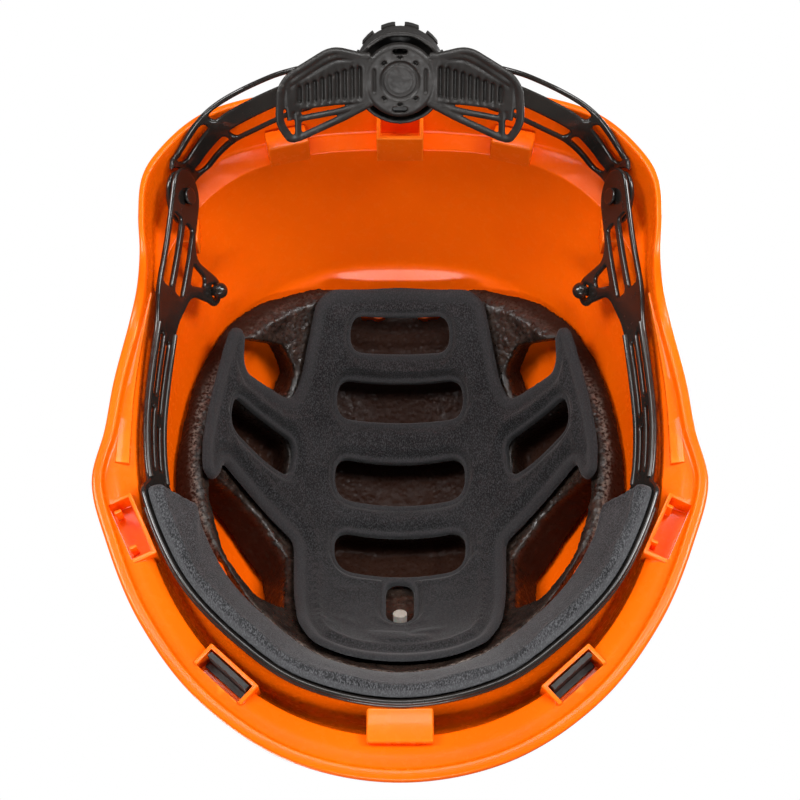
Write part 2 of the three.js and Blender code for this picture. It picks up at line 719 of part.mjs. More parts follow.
function gearOutline(teeth, root, tip, phase) {
  const points = [];
  for (let i = 0; i < teeth; i += 1) {
    for (const [part, radius] of [[0.05, root], [0.3, tip], [0.5, tip], [0.75, root]]) {
      const angle = (2 * Math.PI * (i + part - 0.4)) / teeth + phase;
      points.push([radius * Math.cos(angle), radius * Math.sin(angle)]);
    }
  }
  return points;
}

function pinionSolid() {
  const outline = gearOutline(PINION_TEETH, PINION_RADIUS - 0.9, PINION_RADIUS + 0.5, Math.PI / 2);
  return onNape(sheet(outline, [arc(0, 0, 1.8, 0, 337.5, 15)], 3.1, -8.4));
}

// A toothed strip that runs past the pinion, above it on the left and below it on the right.
function rackSolid(side) {
  const start = -13;
  const count = 15;
  const root = PINION_RADIUS + 1.2;
  const tip = PINION_RADIUS - 0.2;
  const outline = [[start, root + 2.2], [start, root]];
  for (let i = 0; i < count; i += 1) {
    const x = (Math.round(start / TOOTH_PITCH) + i + 1) * TOOTH_PITCH - TOOTH_PITCH / 2;
    outline.push([x - 0.75, root], [x - 0.35, tip], [x + 0.35, tip], [x + 0.75, root]);
  }
  const end = outline.at(-1)[0] + 1;
  outline.push([end, root], [end, root + 2.2]);
  const strip = sheet(outline.reverse(), [], 2.4, -8);
  return onNape(side > 0 ? strip : strip.rotate([0, 0, 180]));
}

function ratchetRingSolid() {
  const teeth = gearOutline(18, 9.9, 9, 0);
  const outer = ring(0, 0, 15.6, 32);
  return onNape(sheet(outer, [teeth], 1.4, HOUSING_BACK + 1.3 + GAP));
}

function pawlSolid() {
  const outline = gearOutline(2, 6.3, 8.7, 0.4);
  const smooth = ring(0, 0, 6.4, 24);
  const fingers = sheet(outline, [], 1.5, -10.4);
  return onNape(sheet(smooth, [], 1.5, -10.4).add(fingers).subtract(discAt(4.7, -12, -8, 24)));
}

function knobSolid() {
  const front = HOUSING_BACK - GAP;
  let knob = discAt(KNOB_RADIUS, KNOB_BACK, front, 48);
  for (let i = 0; i < KNOB_NOTCHES; i += 1) {
    const angle = (2 * Math.PI * i) / KNOB_NOTCHES;
    const notch = box([4, 3.6, 30], [KNOB_RADIUS, 0, -15]).rotate([0, 0, THREE.MathUtils.radToDeg(angle)]);
    knob = knob.subtract(notch);
  }
  knob = knob.add(discAt(4.4, front - 1, -8.7, 24));
  return onNape(knob.subtract(discAt(1.8, -18, -5, 16)));
}

function screwSolid() {
  return onNape(discAt(1.5, -17, -4.8, 16).add(discAt(3.1, -5, -3.8, 20)));
}

// ---- Clip pieces in the front pockets ----

function clipSolid(side) {
  const turn = THREE.MathUtils.degToRad(CLIP_POCKET.turn) * side;
  const length = CLIP_POCKET.length - 2 * CLIP_POCKET.wall - 2 * GAP;
  const width = CLIP_POCKET.width - 2 * CLIP_POCKET.wall - 2 * GAP;
  const bar = new THREE.BoxGeometry(length, width * 0.45, 8);
  bar.translate(0, width * 0.27, 5.5);
  const foot = new THREE.BoxGeometry(length, width, 1.7);
  foot.translate(0, 0, 9.8);
  const clip = solidOf(bar).add(solidOf(foot));
  return clip.rotate([0, 0, THREE.MathUtils.radToDeg(turn)]).translate([CLIP_POCKET.x * side, CLIP_POCKET.y, 0]);
}

// ---- The part ----

const part = new THREE.Group();
part.name = 'arborist_helmet';

function put(name, solid, material) {
  const mesh = new THREE.Mesh(geometryOf(solid), material);
  mesh.name = name;
  part.add(mesh);
}

put('shell', shellSolid(), orange);
put('impact_liner', linerSolid(), foam);
put('crown_pad', crownPadSolid(), fabric);
PATCH_SPOTS.forEach((spot, i) => put(`grip_patch_${i + 1}`, patchSolid(spot), loops));
put('pad_pin', pinSolid(), paleNylon);
put('brow_pad', browPadSolid(), fabric);
put('headband', headbandSolid(), glossBlack);
put('front_plug', frontPlugSolid(), glossBlack);
for (const [label, side] of [['left', 1], ['right', -1]]) {
  put(`hanger_stud_${label}`, studSolid(side), glossBlack);
  put(`lamp_clip_${label}`, clipSolid(side), mattBlack);
  put(`pivot_rivet_${label}`, rivetSolid(side), glossBlack);
  put(`rear_strap_${label}`, strapSolid(side), glossBlack);
  put(`rack_${label}`, rackSolid(side), mattBlack);
}
put('nape_cradle', cradleSolid(), mattBlack);
put('cradle_cap', capSolid(), mattBlack);
put('knob_housing', housingSolid(), mattBlack);
put('ratchet_ring', ratchetRingSolid(), mattBlack);
put('ratchet_pawl', pawlSolid(), mattBlack);
put('pinion', pinionSolid(), mattBlack);
put('pinion_screw', screwSolid(), steel);
put('size_knob', knobSolid(), mattBlack);

export default part;
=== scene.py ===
"""Arborist helmet: the looks of its pieces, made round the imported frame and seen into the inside.

Sizes here are millimetres and degrees until a mesh is made. The frame is the part's own: the front
of the helmet points along -Y, the wearer's left along +X and the crown along +Z.
"""

import math

import bmesh
import bpy
import numpy as np
from mathutils import Matrix, Vector, noise
from mathutils.geometry import delaunay_2d_cdt


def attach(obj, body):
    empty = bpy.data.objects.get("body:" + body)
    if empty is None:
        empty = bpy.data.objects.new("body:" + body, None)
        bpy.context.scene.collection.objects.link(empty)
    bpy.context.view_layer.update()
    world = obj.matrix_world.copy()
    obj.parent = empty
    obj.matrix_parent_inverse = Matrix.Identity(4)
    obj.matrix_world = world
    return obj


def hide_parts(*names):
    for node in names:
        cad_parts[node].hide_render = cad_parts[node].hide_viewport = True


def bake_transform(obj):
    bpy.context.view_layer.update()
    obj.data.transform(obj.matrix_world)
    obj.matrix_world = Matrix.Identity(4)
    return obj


MM = 0.001

# Shell
WALL = 3.0
HALF_WIDTH = 102.5
FRONT_REACH = 128.5
REAR_REACH = 121.0
CROWN_Z = 136.0
DOME_FULLNESS = 2.15
FRONT_FULLNESS = 1.5
FRONT_SQUARENESS = 2.1
REAR_SQUARENESS = 3.0
ROOF_SQUARENESS = 2.3
LIP = 4.0
LEDGE_Z = 4.0
CREASE_Z = 74.0
SHELL_COLUMNS = 340
OUTSIDE_ROWS = 26
OUTER_POINTS = OUTSIDE_ROWS + 4 * 5
RIM = [
    (0, -141, 0), (37.7, -133.8, 0), (69.2, -113.4, 0), (91.9, -85.1, 0), (105.9, -55.5, 0),
    (113, -32.3, 0), (110, -12, 0), (108.2, 8.3, 0), (103.9, 33.9, -1), (101.3, 45, -6),
    (99.7, 56, -14), (101.1, 72, -16), (100.7, 88, -17), (96.3, 98, -18), (79, 116.5, -19),
    (45, 127, -20), (0, 131, -20),
]
SIDE_POCKET = {"at": (97.2, -49.5), "turn": 64, "size": (26, 9.4), "low": 2.8, "top": 13, "wall": 1.5}
CLIP_POCKET = {"at": (60.4, -103.6), "turn": 41.5, "size": (23, 9), "low": 2.4, "top": 13, "wall": 1.5}
REAR_POCKET = {"at": (0, 119), "turn": 0, "size": (19, 13), "low": -7, "top": 9, "wall": 1.5}

# Liner and crown pad, in degrees away from straight up
HEAD_SIDE = (91.0, 114.0, 111.0, 13.0)
HEAD_SIDE_SIZE = 95.0
UNDERSIDE_SLOPE = 2.0
BEAD = 2.7
PAD = 5.0
PAD_LIFT = 2.0
PAD_BORDER = 3.4 / 1.9
PAD_OUTLINE = [
    (18, -63.5), (27, -61), (31, -51.5), (31.5, -39.4), (31, -21.3), (36, -18.5), (46.8, -12.2),
    (56, -7.8), (57.5, -12.9), (60.4, -16), (64, -15), (64.6, -7), (62.8, 3.7), (60.2, 15.4),
    (57.1, 27.7), (51.6, 28.7), (51, 20.9), (49.4, 18.4), (33.2, 14.9), (30.5, 20.6), (27.3, 38.7),
    (25.8, 40.8), (22, 43.3), (0, 44.7),
]
ARM_SLIT = [(53.5, 11.1), (32.9, 5.1), (32.2, 2.3), (33.4, -4.3), (40.5, -2.6), (53.3, 2.3), (54.4, 5.1)]
PAD_SLOTS = [(33.2, 31, 8.5, 0.0), (17.6, 38, 8.9, 0.3), (-1.5, 38, 10.2, 0.9), (-21.1, 38, 11.4, 0.7)]
PIN_SLOT = (-36.6, 8, 14)

# Headband: a leaning strip along a path, flat measures s along it and h up its face
LEAN = math.radians(24)
BAND = 2.0
BAND_TOP = 19.0
BAND_BOTTOM = -13.0
PIVOT = (85.2, 87.0, -4.0)
TAB_RADIUS = 9.5
BAND_PATH = [
    (0, -109.2), (33, -102.2), (54, -87.8), (71, -70.8), (80.6, -55.3), (90, -31.5), (93.5, -8),
    (93.2, 18), (90.8, 45), (87.4, 69), (85.2, 87), (83.8, 100),
]
BROW_PAD = 6.0
BROW_END = 126.0
BROW_TAPER = 8.0
STRAP_OUT = 2.8
STRAP_TOP = 9.5
EYE_RADIUS = 8.9
EYE_GAP = 1.1
STRAP_PATH = [
    (85.2, 87, -4), (84, 95.5, -5), (78.6, 101.9, -11), (70.2, 106.9, -21), (58.8, 109.2, -30.5),
    (47, 109.6, -39), (36, 109, -45),
]

# Nape device: x across, y up the plate, z towards the head
NAPE_CENTRE = np.array((0.0, 109.0, -50.0))
NAPE_TILT = math.radians(40)
PLATE = 3.0
PLATE_RADIUS = 13.8
WING_CURVE = 60.0
HOUSING_BACK = -14.6
RIBS = 9

# View
VIEW_TILT = math.radians(25)
VIEW_DISTANCE = 562.0
VIEW_LENS = 67.5
WORLD_LIGHT = 0.15
FLOOR_Z = -1300
FLOOR_REACH = 6000


# ---- Curves and outlines ----


def spline(points, closed=False, per_span=24):
    """A smooth curve through the points, with the same number of steps between each two."""
    p = np.array(points, float)
    if closed:
        p = np.vstack([p[-1:], p, p[:2]])
    else:
        p = np.vstack([2 * p[0] - p[1], p, 2 * p[-1] - p[-2]])
    found = []
    for p0, p1, p2, p3 in zip(p, p[1:], p[2:], p[3:]):
        d0, d1, d2 = (math.sqrt(np.linalg.norm(b - a)) for a, b in ((p0, p1), (p1, p2), (p2, p3)))
        t1 = ((p1 - p0) / d0 - (p2 - p0) / (d0 + d1) + (p2 - p1) / d1) * d1
        t2 = ((p2 - p1) / d1 - (p3 - p1) / (d1 + d2) + (p3 - p2) / d2) * d1
        square, cube = 3 * p2 - 3 * p1 - 2 * t1 - t2, 2 * p1 - 2 * p2 + t1 + t2
        for t in np.arange(per_span) / per_span:
            found.append(p1 + t * t1 + t * t * square + t**3 * cube)
    if not closed:
        found.append(p[-2])
    return np.array(found)


def rounded_corner(a, b, c, radius, share, steps):
    """Points round a corner at b between a and c. It takes up no more than a share of either side."""
    before, after = np.linalg.norm(a - b), np.linalg.norm(c - b)
    reach = min(radius, share * before, share * after)
    start, end = b + (a - b) / before * reach, b + (c - b) / after * reach
    return [(1 - t) ** 2 * start + 2 * t * (1 - t) * b + t * t * end for t in np.linspace(0, 1, steps + 1)]


def filleted(points, radius, steps=5):
    """A closed outline with each corner rounded off."""
    p = np.array(points, float)
    found = []
    for a, b, c in zip(np.roll(p, 1, axis=0), p, np.roll(p, -1, axis=0)):
        found += rounded_corner(a, b, c, radius, 0.46, steps)
    return np.array(found)


def lengths_along(curve):
    return np.concatenate([[0], np.cumsum(np.linalg.norm(np.diff(curve, axis=0), axis=1))])


def even(outline, step):
    """The closed outline as points a step apart."""
    ring = np.vstack([outline, outline[:1]])
    marks = lengths_along(ring)
    count = max(10, int(marks[-1] / step))
    places = np.linspace(0, marks[-1], count, endpoint=False)
    return np.column_stack([np.interp(places, marks, ring[:, k]) for k in range(ring.shape[1])])


def mirrored(points):
    return [(-x, y) for x, y in reversed(list(map(tuple, points)))]


def arc(x, y, radius, start, end, steps=10):
    turns = np.radians(np.linspace(start, end, steps + 1))
    return [(x + radius * math.cos(a), y + radius * math.sin(a)) for a in turns]


def block(x0, y0, x1, y1):
    return [(x0, y0), (x1, y0), (x1, y1), (x0, y1)]


def inside(points, ring):
    """Which points lie inside a closed outline."""
    x, y = points[:, 0], points[:, 1]
    found = np.zeros(len(points), bool)
    for (x0, y0), (x1, y1) in zip(ring, np.roll(ring, -1, axis=0)):
        if y0 != y1:
            found ^= ((y0 > y) != (y1 > y)) & (x < (x1 - x0) * (y - y0) / (y1 - y0) + x0)
    return found


def edge_distance(points, rings):
    """How far each point is from the nearest outline."""
    best = np.full(len(points), 1e9)
    for ring in rings:
        for a, b in zip(ring, np.roll(ring, -1, axis=0)):
            along = b - a
            t = np.clip(((points - a) @ along) / max(1e-9, along @ along), 0, 1)
            best = np.minimum(best, np.linalg.norm(points - a - t[:, None] * along, axis=1))
    return best


def smooth(x, low, high):
    t = np.clip((np.asarray(x, float) - low) / (high - low), 0, 1)
    return t * t * (3 - 2 * t)


# ---- Meshes ----


def new_object(name, points, faces):
    mesh = bpy.data.meshes.new(name)
    mesh.from_pydata((np.asarray(points) * MM).tolist(), [], faces)
    mesh.validate()
    obj = bpy.data.objects.new(name, mesh)
    bpy.context.scene.collection.objects.link(obj)
    return obj


def coordinates(obj):
    co = np.empty(len(obj.data.vertices) * 3)
    obj.data.vertices.foreach_get("co", co)
    return co.reshape(-1, 3)


def set_coordinates(obj, co):
    obj.data.vertices.foreach_set("co", np.asarray(co, float).ravel())
    obj.data.update()


def facing_out(obj):
    """Turns the faces so that they point out of the closed body."""
    mesh = bmesh.new()
    mesh.from_mesh(obj.data)
    bmesh.ops.recalc_face_normals(mesh, faces=mesh.faces)
    if mesh.calc_volume(signed=True) < 0:
        bmesh.ops.reverse_faces(mesh, faces=mesh.faces)
    mesh.to_mesh(obj.data)
    mesh.free()
    return obj


def applied(obj):
    """The object with its modifiers made part of its mesh."""
    graph = bpy.context.evaluated_depsgraph_get()
    mesh = bpy.data.meshes.new_from_object(obj.evaluated_get(graph))
    obj.modifiers.clear()
    obj.data = mesh
    return obj


def modified(obj, kind, **settings):
    modifier = obj.modifiers.new(kind.lower(), kind)
    for key, value in settings.items():
        setattr(modifier, key, value)
    return applied(obj)


def joined(name, objects):
    """One object with the meshes of several."""
    mesh = bmesh.new()
    for obj in objects:
        mesh.from_mesh(obj.data)
        bpy.data.objects.remove(obj)
    result = new_object(name, [], [])
    mesh.to_mesh(result.data)
    mesh.free()
    return result


def fused(obj, voxel, rounds):
    """Overlapping bodies made into one, with the corners softened as a mould leaves them."""
    modified(obj, "REMESH", mode="VOXEL", voxel_size=voxel * MM, adaptivity=0.0)
    return modified(obj, "SMOOTH", factor=0.5, iterations=rounds)


def moulded(name, node, voxel, rounds):
    """A finer body over a CAD node's own shape."""
    obj = bpy.data.objects.new(name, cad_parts[node].data.copy())
    obj.data.materials.clear()
    bpy.context.scene.collection.objects.link(obj)
    return fused(obj, voxel, rounds)


def shaped(obj, formula):
    """Sends every point of the mesh, in millimetres, through a formula."""
    set_coordinates(obj, formula(coordinates(obj) / MM) * MM)
    return facing_out(obj)


def flat_piece(name, outline, holes, step, front, back, insets, spread=1.0):
    """A closed body over a flat outline. front and back give its two faces by distance from the edge.

    Distances from the outline itself are divided by spread, so that its border can be the wider one.
    """
    rings = [even(np.array(ring, float), step * 0.8) for ring in [outline, *holes]]
    low, high = rings[0].min(axis=0), rings[0].max(axis=0)
    rows = np.arange(low[1], high[1], step * 0.87)
    grid = [(x + (i % 2) * step / 2, y) for i, y in enumerate(rows) for x in np.arange(low[0], high[0], step)]
    grid = np.array(grid)
    reach = edge_distance(grid, rings)
    chosen = [grid[inside(grid, rings[0]) & (reach > insets[-1] + 0.55 * step)]]
    for inset in insets:
        for i, ring in enumerate(rings):
            along = np.roll(ring, -1, axis=0) - np.roll(ring, 1, axis=0)
            normal = np.column_stack([-along[:, 1], along[:, 0]]) / np.linalg.norm(along, axis=1)[:, None]
            moved = ring + normal * inset
            if inside(moved[:1], ring)[0] != (i == 0):
                moved = ring - normal * inset
            fits = inside(moved, rings[0]) & (edge_distance(moved, rings) > 0.97 * inset)
            chosen.append(moved[fits])
    points = [Vector(p) for p in np.vstack([*rings, *chosen])]
    edges = []
    start = 0
    for ring in rings:
        edges += [(start + i, start + (i + 1) % len(ring)) for i in range(len(ring))]
        start += len(ring)
    flat, _, triangles, *_ = delaunay_2d_cdt(points, edges, [], 0, 1e-6, False)
    flat = np.array([tuple(p) for p in flat])
    triangles = np.array([tuple(t) for t in triangles])
    centres = flat[triangles].mean(axis=1)
    kept = inside(centres, rings[0])
    for ring in rings[1:]:
        kept &= ~inside(centres, ring)
    triangles = triangles[kept]
    used, index = np.unique(triangles, return_inverse=True)
    flat, triangles = flat[used], index.reshape(-1, 3)
    distance = np.minimum(edge_distance(flat, rings[:1]) / spread, edge_distance(flat, rings[1:]))
    count = len(flat)
    points = np.vstack([np.column_stack([flat, front(distance)]), np.column_stack([flat, back(distance)])])
    sides = np.vstack([triangles[:, [0, 1]], triangles[:, [1, 2]], triangles[:, [2, 0]]])
    known = {tuple(e) for e in sides.tolist()}
    rim = [(a, b) for a, b in known if (b, a) not in known]
    faces = triangles.tolist() + (triangles[:, ::-1] + count).tolist()
    faces += [(b, a, a + count, b + count) for a, b in rim]
    obj = facing_out(new_object(name, points, faces))
    store(obj, "edge", np.concatenate([distance, distance]))
    return obj


def store(obj, name, values):
    attribute = obj.data.attributes.new(name, "FLOAT", "POINT")
    attribute.data.foreach_set("value", np.asarray(values, np.float32))


def rounded_edge(half, radius, shift=0.0):
    """The front and back of a plate whose edges are rounded over."""

    def height(distance):
        t = np.clip(distance / radius, 0, 1)
        return half * (0.25 + 0.75 * np.sqrt(np.clip(1 - (1 - t) ** 2, 0, 1)))

    return (lambda d: shift + height(d)), (lambda d: shift - height(d))


def swept(name, rings):
    """A closed body through rings that have the same number of points."""
    sides, last = len(rings[0]), (len(rings) - 1) * len(rings[0])
    faces = [tuple(range(sides))[::-1], tuple(range(last, last + sides))]
    for here in range(0, last, sides):
        for j in range(sides):
            k = (j + 1) % sides
            faces.append((here + j, here + k, here + sides + k, here + sides + j))
    return facing_out(new_object(name, np.concatenate(rings), faces))


def tube(name, path, radius, sides):
    """A round bar along a path."""
    path = np.array(path, float)
    tangents = np.gradient(path, axis=0)
    tangents /= np.linalg.norm(tangents, axis=1)[:, None]
    across = np.cross(tangents[0], (0.31, 0.22, 0.93))
    turns = np.linspace(0, 2 * math.pi, sides, endpoint=False)
    rings = []
    for point, tangent in zip(path, tangents):
        across = across - (across @ tangent) * tangent
        across /= np.linalg.norm(across)
        other = np.cross(tangent, across)
        rings.append([point + radius * (across * math.cos(a) + other * math.sin(a)) for a in turns])
    return swept(name, rings)


def rounded_box(name, size, centre, turn=0.0, bevel=0.6):
    mesh = bmesh.new()
    bmesh.ops.create_cube(mesh, size=1)
    bmesh.ops.scale(mesh, vec=Vector(size) * MM, verts=mesh.verts)
    bmesh.ops.bevel(mesh, geom=mesh.edges, offset=bevel * MM, segments=3, profile=0.6, affect="EDGES")
    place = Matrix.Translation(Vector(centre) * MM) @ Matrix.Rotation(math.radians(turn), 4, "Z")
    bmesh.ops.transform(mesh, matrix=place, verts=mesh.verts)
    obj = new_object(name, [], [])
    mesh.to_mesh(obj.data)
    mesh.free()
    return obj


def between_poles(name, first, last, columns):
    """A closed body through columns of points, each from one height on the z axis to another."""
    rows = len(columns[0])
    points = [(0, 0, first), (0, 0, last), *(point for column in columns for point in column)]
    faces = []
    for i in range(len(columns)):
        here, there = 2 + i * rows, 2 + (i + 1) % len(columns) * rows
        faces += [(0, here, there), (1, there + rows - 1, here + rows - 1)]
        faces += [(here + j, here + j + 1, there + j + 1, there + j) for j in range(rows - 1)]
    return facing_out(new_object(name, points, faces))


def turned(name, profile, sides):
    """A body turned round the z axis from a profile of (radius, z) that starts and ends on the axis."""
    columns = []
    for turn in np.linspace(0, 2 * math.pi, sides, endpoint=False):
        columns.append([(r * math.cos(turn), r * math.sin(turn), z) for r, z in profile[1:-1]])
    return between_poles(name, profile[0][1], profile[-1][1], columns)


def cut(obj, operation, tools):
    """Joins the tools to the object, or takes them away from it."""
    group = bpy.data.collections.new("tools")
    for tool in tools:
        group.objects.link(tool)
    modified(obj, "BOOLEAN", operation=operation, operand_type="COLLECTION", collection=group, solver="EXACT")
    for tool in tools:
        bpy.data.objects.remove(tool)
    return obj


def shown(obj, body, look, node, angle):
    """Gives a finished piece its material and its body, and hides the CAD node that it stands for."""
    material, slot = look
    obj.data.materials.clear()
    obj.data.materials.append(material)
    obj.data.polygons.foreach_set("use_smooth", [True] * len(obj.data.polygons))
    obj.data.set_sharp_from_angle(angle=math.radians(angle))
    if body:
        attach(obj, body)
    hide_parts(node)
    return obj


def puffed(obj, pressure, cap, slack, free_from):
    """Cloth simulation of a pad's cover: its pressed edge is held, and no point moves further than cap."""
    rest = coordinates(obj)
    edge = np.empty(len(rest), np.float32)
    obj.data.attributes["edge"].data.foreach_get("value", edge)
    held = obj.vertex_groups.new(name="held")
    held.add(np.flatnonzero(edge < free_from).tolist(), 1.0, "REPLACE")
    cloth = obj.modifiers.new("cover", "CLOTH")
    settings = cloth.settings
    settings.quality = 6
    settings.mass = 0.15
    settings.tension_stiffness = settings.compression_stiffness = 12
    settings.bending_stiffness = 0.4
    settings.shrink_min = -slack
    settings.vertex_group_mass = "held"
    settings.use_pressure = True
    settings.uniform_pressure_force = pressure
    settings.effector_weights.gravity = 0
    cloth.collision_settings.use_collision = False
    cloth.point_cache.frame_start = 1
    cloth.point_cache.frame_end = 20
    scene = bpy.context.scene
    for number in range(1, 21):
        scene.frame_set(number)
    applied(obj)
    scene.frame_set(1)
    obj.vertex_groups.clear()
    moved = coordinates(obj) - rest
    length = np.linalg.norm(moved, axis=1)
    share = cap * MM * np.tanh(length / (cap * MM)) / np.maximum(length, 1e-9)
    set_coordinates(obj, rest + moved * share[:, None])
    return obj


# ---- Materials ----


class Recipe:
    """A node material with one principled shader, and the record's slot that it belongs to."""

    def __init__(self, name, slot, **inputs):
        self.slot = slot
        self.material = bpy.data.materials.new(name)
        self.material.use_nodes = True
        self.tree = self.material.node_tree
        self.tree.nodes.clear()
        self.shader = self.add("BsdfPrincipled", **inputs)
        output = self.tree.nodes.new("ShaderNodeOutputMaterial")
        self.tree.links.new(self.shader.outputs[0], output.inputs[0])
        self.place = self.tree.nodes.new("ShaderNodeTexCoord").outputs["Object"]

    def set(self, node, name, value):
        socket = node.inputs[name.replace("_", " ") if isinstance(name, str) else name]
        if isinstance(value, bpy.types.NodeSocket):
            self.tree.links.new(value, socket)
        else:
            socket.default_value = value

    def add(self, kind, settings=None, **inputs):
        node = self.tree.nodes.new("ShaderNode" + kind)
        for key, value in (settings or {}).items():
            setattr(node, key, value)
        for key, value in inputs.items():
            self.set(node, key, value)
        return node

    def noise(self, size, detail=3.0, roughness=0.55, stretch=(1, 1, 1)):
        """Noise whose lumps are about a size across, in millimetres."""
        place = self.add("Mapping", Vector=self.place, Scale=stretch).outputs[0]
        scale = 1 / (size * MM)
        node = self.add("TexNoise", Vector=place, Scale=scale, Detail=detail, Roughness=roughness)
        return node.outputs["Fac"]

    def cells(self, size, feature="F1"):
        node = self.add("TexVoronoi", {"feature": feature}, Vector=self.place, Scale=1 / (size * MM))
        return node.outputs["Distance"]

    def attribute(self, name):
        return self.add("Attribute", {"attribute_name": name}).outputs["Fac"]

    def range(self, value, low, high, new_low=0.0, new_high=1.0):
        node = self.add("MapRange", Value=value)
        for key, number in (("From Min", low), ("From Max", high), ("To Min", new_low), ("To Max", new_high)):
            self.set(node, key, number)
        return node.outputs[0]

    def maths(self, operation, a, b):
        node = self.add("Math", {"operation": operation})
        self.set(node, 0, a)
        self.set(node, 1, b)
        return node.outputs[0]

    def mix(self, share, first, second):
        node = self.add("MixRGB")
        self.set(node, "Fac", share)
        self.set(node, "Color1", first)
        self.set(node, "Color2", second)
        return node.outputs[0]

    def painted_edge_highlight(self, base, low, high, share, edge_highlight_colour):
        """The base colour with a paler one along corners that stand out, as a painted highlight."""
        pointed = self.add("NewGeometry").outputs["Pointiness"]
        return self.mix(self.range(pointed, low, high, 0, share), base, edge_highlight_colour)

    def finished(self, colour, bumps, **inputs):
        """Ends the material. Bumps lie on each other, each a height and how deep it is in millimetres."""
        for height, depth in bumps:
            under = {"Normal": inputs["Normal"]} if "Normal" in inputs else {}
            bump = self.add("Bump", Height=height, Strength=1.0, Distance=depth * MM, **under)
            inputs["Normal"] = bump.outputs[0]
        for name, value in {"Base Color": colour, **inputs}.items():
            self.set(self.shader, name, value)
        return self.material, self.slot


def shell_plastic():
    """Glossy moulded plastic, with faint flow marks, dust and a painted highlight along its edges."""
    gloss = {"Specular_IOR_Level": 0.13, "Coat_Weight": 0.16, "Coat_Roughness": 0.1, "IOR": 1.46}
    r = Recipe("orange_shell_plastic", "shell_plastic", **gloss)
    flow = r.range(r.noise(60, 2), 0.35, 0.65)
    base = r.mix(flow, (0.90, 0.108, 0.0005, 1), (0.96, 0.128, 0.0008, 1))
    # Painted highlight: a paler orange along the lip and the other edges that stand out.
    base = r.painted_edge_highlight(base, 0.52, 0.6, 0.4, (1.0, 0.27, 0.02, 1))
    dust = r.range(r.noise(3.5, 3), 0.45, 0.75, 0.25, 0.31)
    scratches = r.range(r.noise(0.9, 2, stretch=(1, 14, 14)), 0.64, 0.72, 0, 0.06)
    bumps = [(r.noise(14, 1), 0.05), (r.noise(0.9, 1), 0.002)]
    return r.finished(base, bumps, Roughness=r.maths("ADD", dust, scratches))


def liner_foam():
    """Beads of foam pressed together, shiny where their skins melted, with painted glints on the bead tops,
    painted bounce light in the recesses and a painted highlight along the ridge by the brow.
    """
    r = Recipe("beaded_foam", "liner_foam")
    beads = r.cells(BEAD)
    seams = r.cells(BEAD, "DISTANCE_TO_EDGE")
    skin = r.mix(r.range(r.noise(5, 3), 0.35, 0.7), (0.010, 0.006, 0.004, 1), (0.034, 0.021, 0.015, 1))
    # Painted glints: a pale colour on the bead tops.
    glints = r.maths("MULTIPLY", r.range(beads, 0.05, 0.32, 1, 0), r.range(r.noise(3.2, 2), 0.5, 0.66))
    base = r.mix(r.maths("MULTIPLY", glints, 0.12), skin, (0.36, 0.31, 0.27, 1))
    base = r.mix(r.range(seams, 0.0, 0.09, 0.75, 0), base, (0.006, 0.004, 0.004, 1))
    # Painted orange bounce light in the recesses behind the slots.
    base = r.mix(r.maths("MULTIPLY", r.attribute("deep"), 0.75), base, (0.024, 0.0088, 0.0052, 1))
    # Painted highlight along the ridge of the liner's inner edge by the brow.
    painted_ridge_highlight = r.maths("MULTIPLY", r.attribute("ridge"), r.range(r.noise(1.3, 3), 0.42, 0.62))
    base = r.mix(r.maths("MULTIPLY", painted_ridge_highlight, 0.6), base, (0.30, 0.26, 0.22, 1))
    shine = r.range(r.attribute("deep"), 0, 1, 0.35, 0.06)
    coat = r.range(r.attribute("deep"), 0, 1, 0.06, 0.01)
    rough = r.range(r.noise(1.4, 3), 0.35, 0.7, 0.22, 0.6)
    bumps = [(r.range(beads, 0, 0.55, 1, 0), 0.3), (r.noise(0.7, 3), 0.08)]
    return r.finished(base, bumps, Roughness=rough, Specular_IOR_Level=shine, Coat_Weight=coat)


def pad_fabric(name, pile, tone):
    """Brushed fabric over foam, paler along its pressed edge. tone is how pale the fabric is."""
    nap_shine = {"Sheen_Weight": 0.12, "Sheen_Roughness": 0.45, "Specular_IOR_Level": 0.2}
    r = Recipe(name, "pad_fabric", Roughness=0.97, **nap_shine)

    def grey(value):
        return (value * tone, value * tone, value * tone * 1.06, 1)

    nap = r.noise(16, 4, 0.6)
    fibres = r.noise(0.45, 3, 0.75, stretch=(1, 0.5, 1))
    dark = r.mix(r.range(nap, 0.38, 0.64), grey(0.009), grey(0.020))
    base = r.mix(r.range(fibres, 0.47, 0.6), dark, grey(0.075))
    pressed = r.range(r.attribute("edge"), pile * 0.55, pile * 1.05, 1, 0)
    base = r.mix(r.maths("MULTIPLY", pressed, 0.5), base, grey(0.066))
    return r.finished(base, [(nap, 0.15), (r.noise(1.1, 3), 0.12), (fibres, 0.16)])


def gloss_plastic():
    """Glossy black nylon with a faint mould texture and fine scratches."""
    gloss = {"Specular_IOR_Level": 0.4, "Coat_Weight": 0.2, "Coat_Roughness": 0.08}
    r = Recipe("gloss_black_nylon", "gloss_black_plastic", **gloss)
    tone = r.range(r.noise(20, 3), 0.35, 0.65)
    base = r.mix(tone, (0.010, 0.008, 0.007, 1), (0.017, 0.014, 0.012, 1))
    # Painted highlight: a grey along the edges that stand out.
    base = r.painted_edge_highlight(base, 0.53, 0.62, 0.35, (0.09, 0.08, 0.07, 1))
    bumps = [(r.noise(4, 2), 0.03), (r.noise(0.4, 2), 0.008)]
    return r.finished(base, bumps, Roughness=r.range(r.noise(3, 4), 0.4, 0.72, 0.14, 0.3))


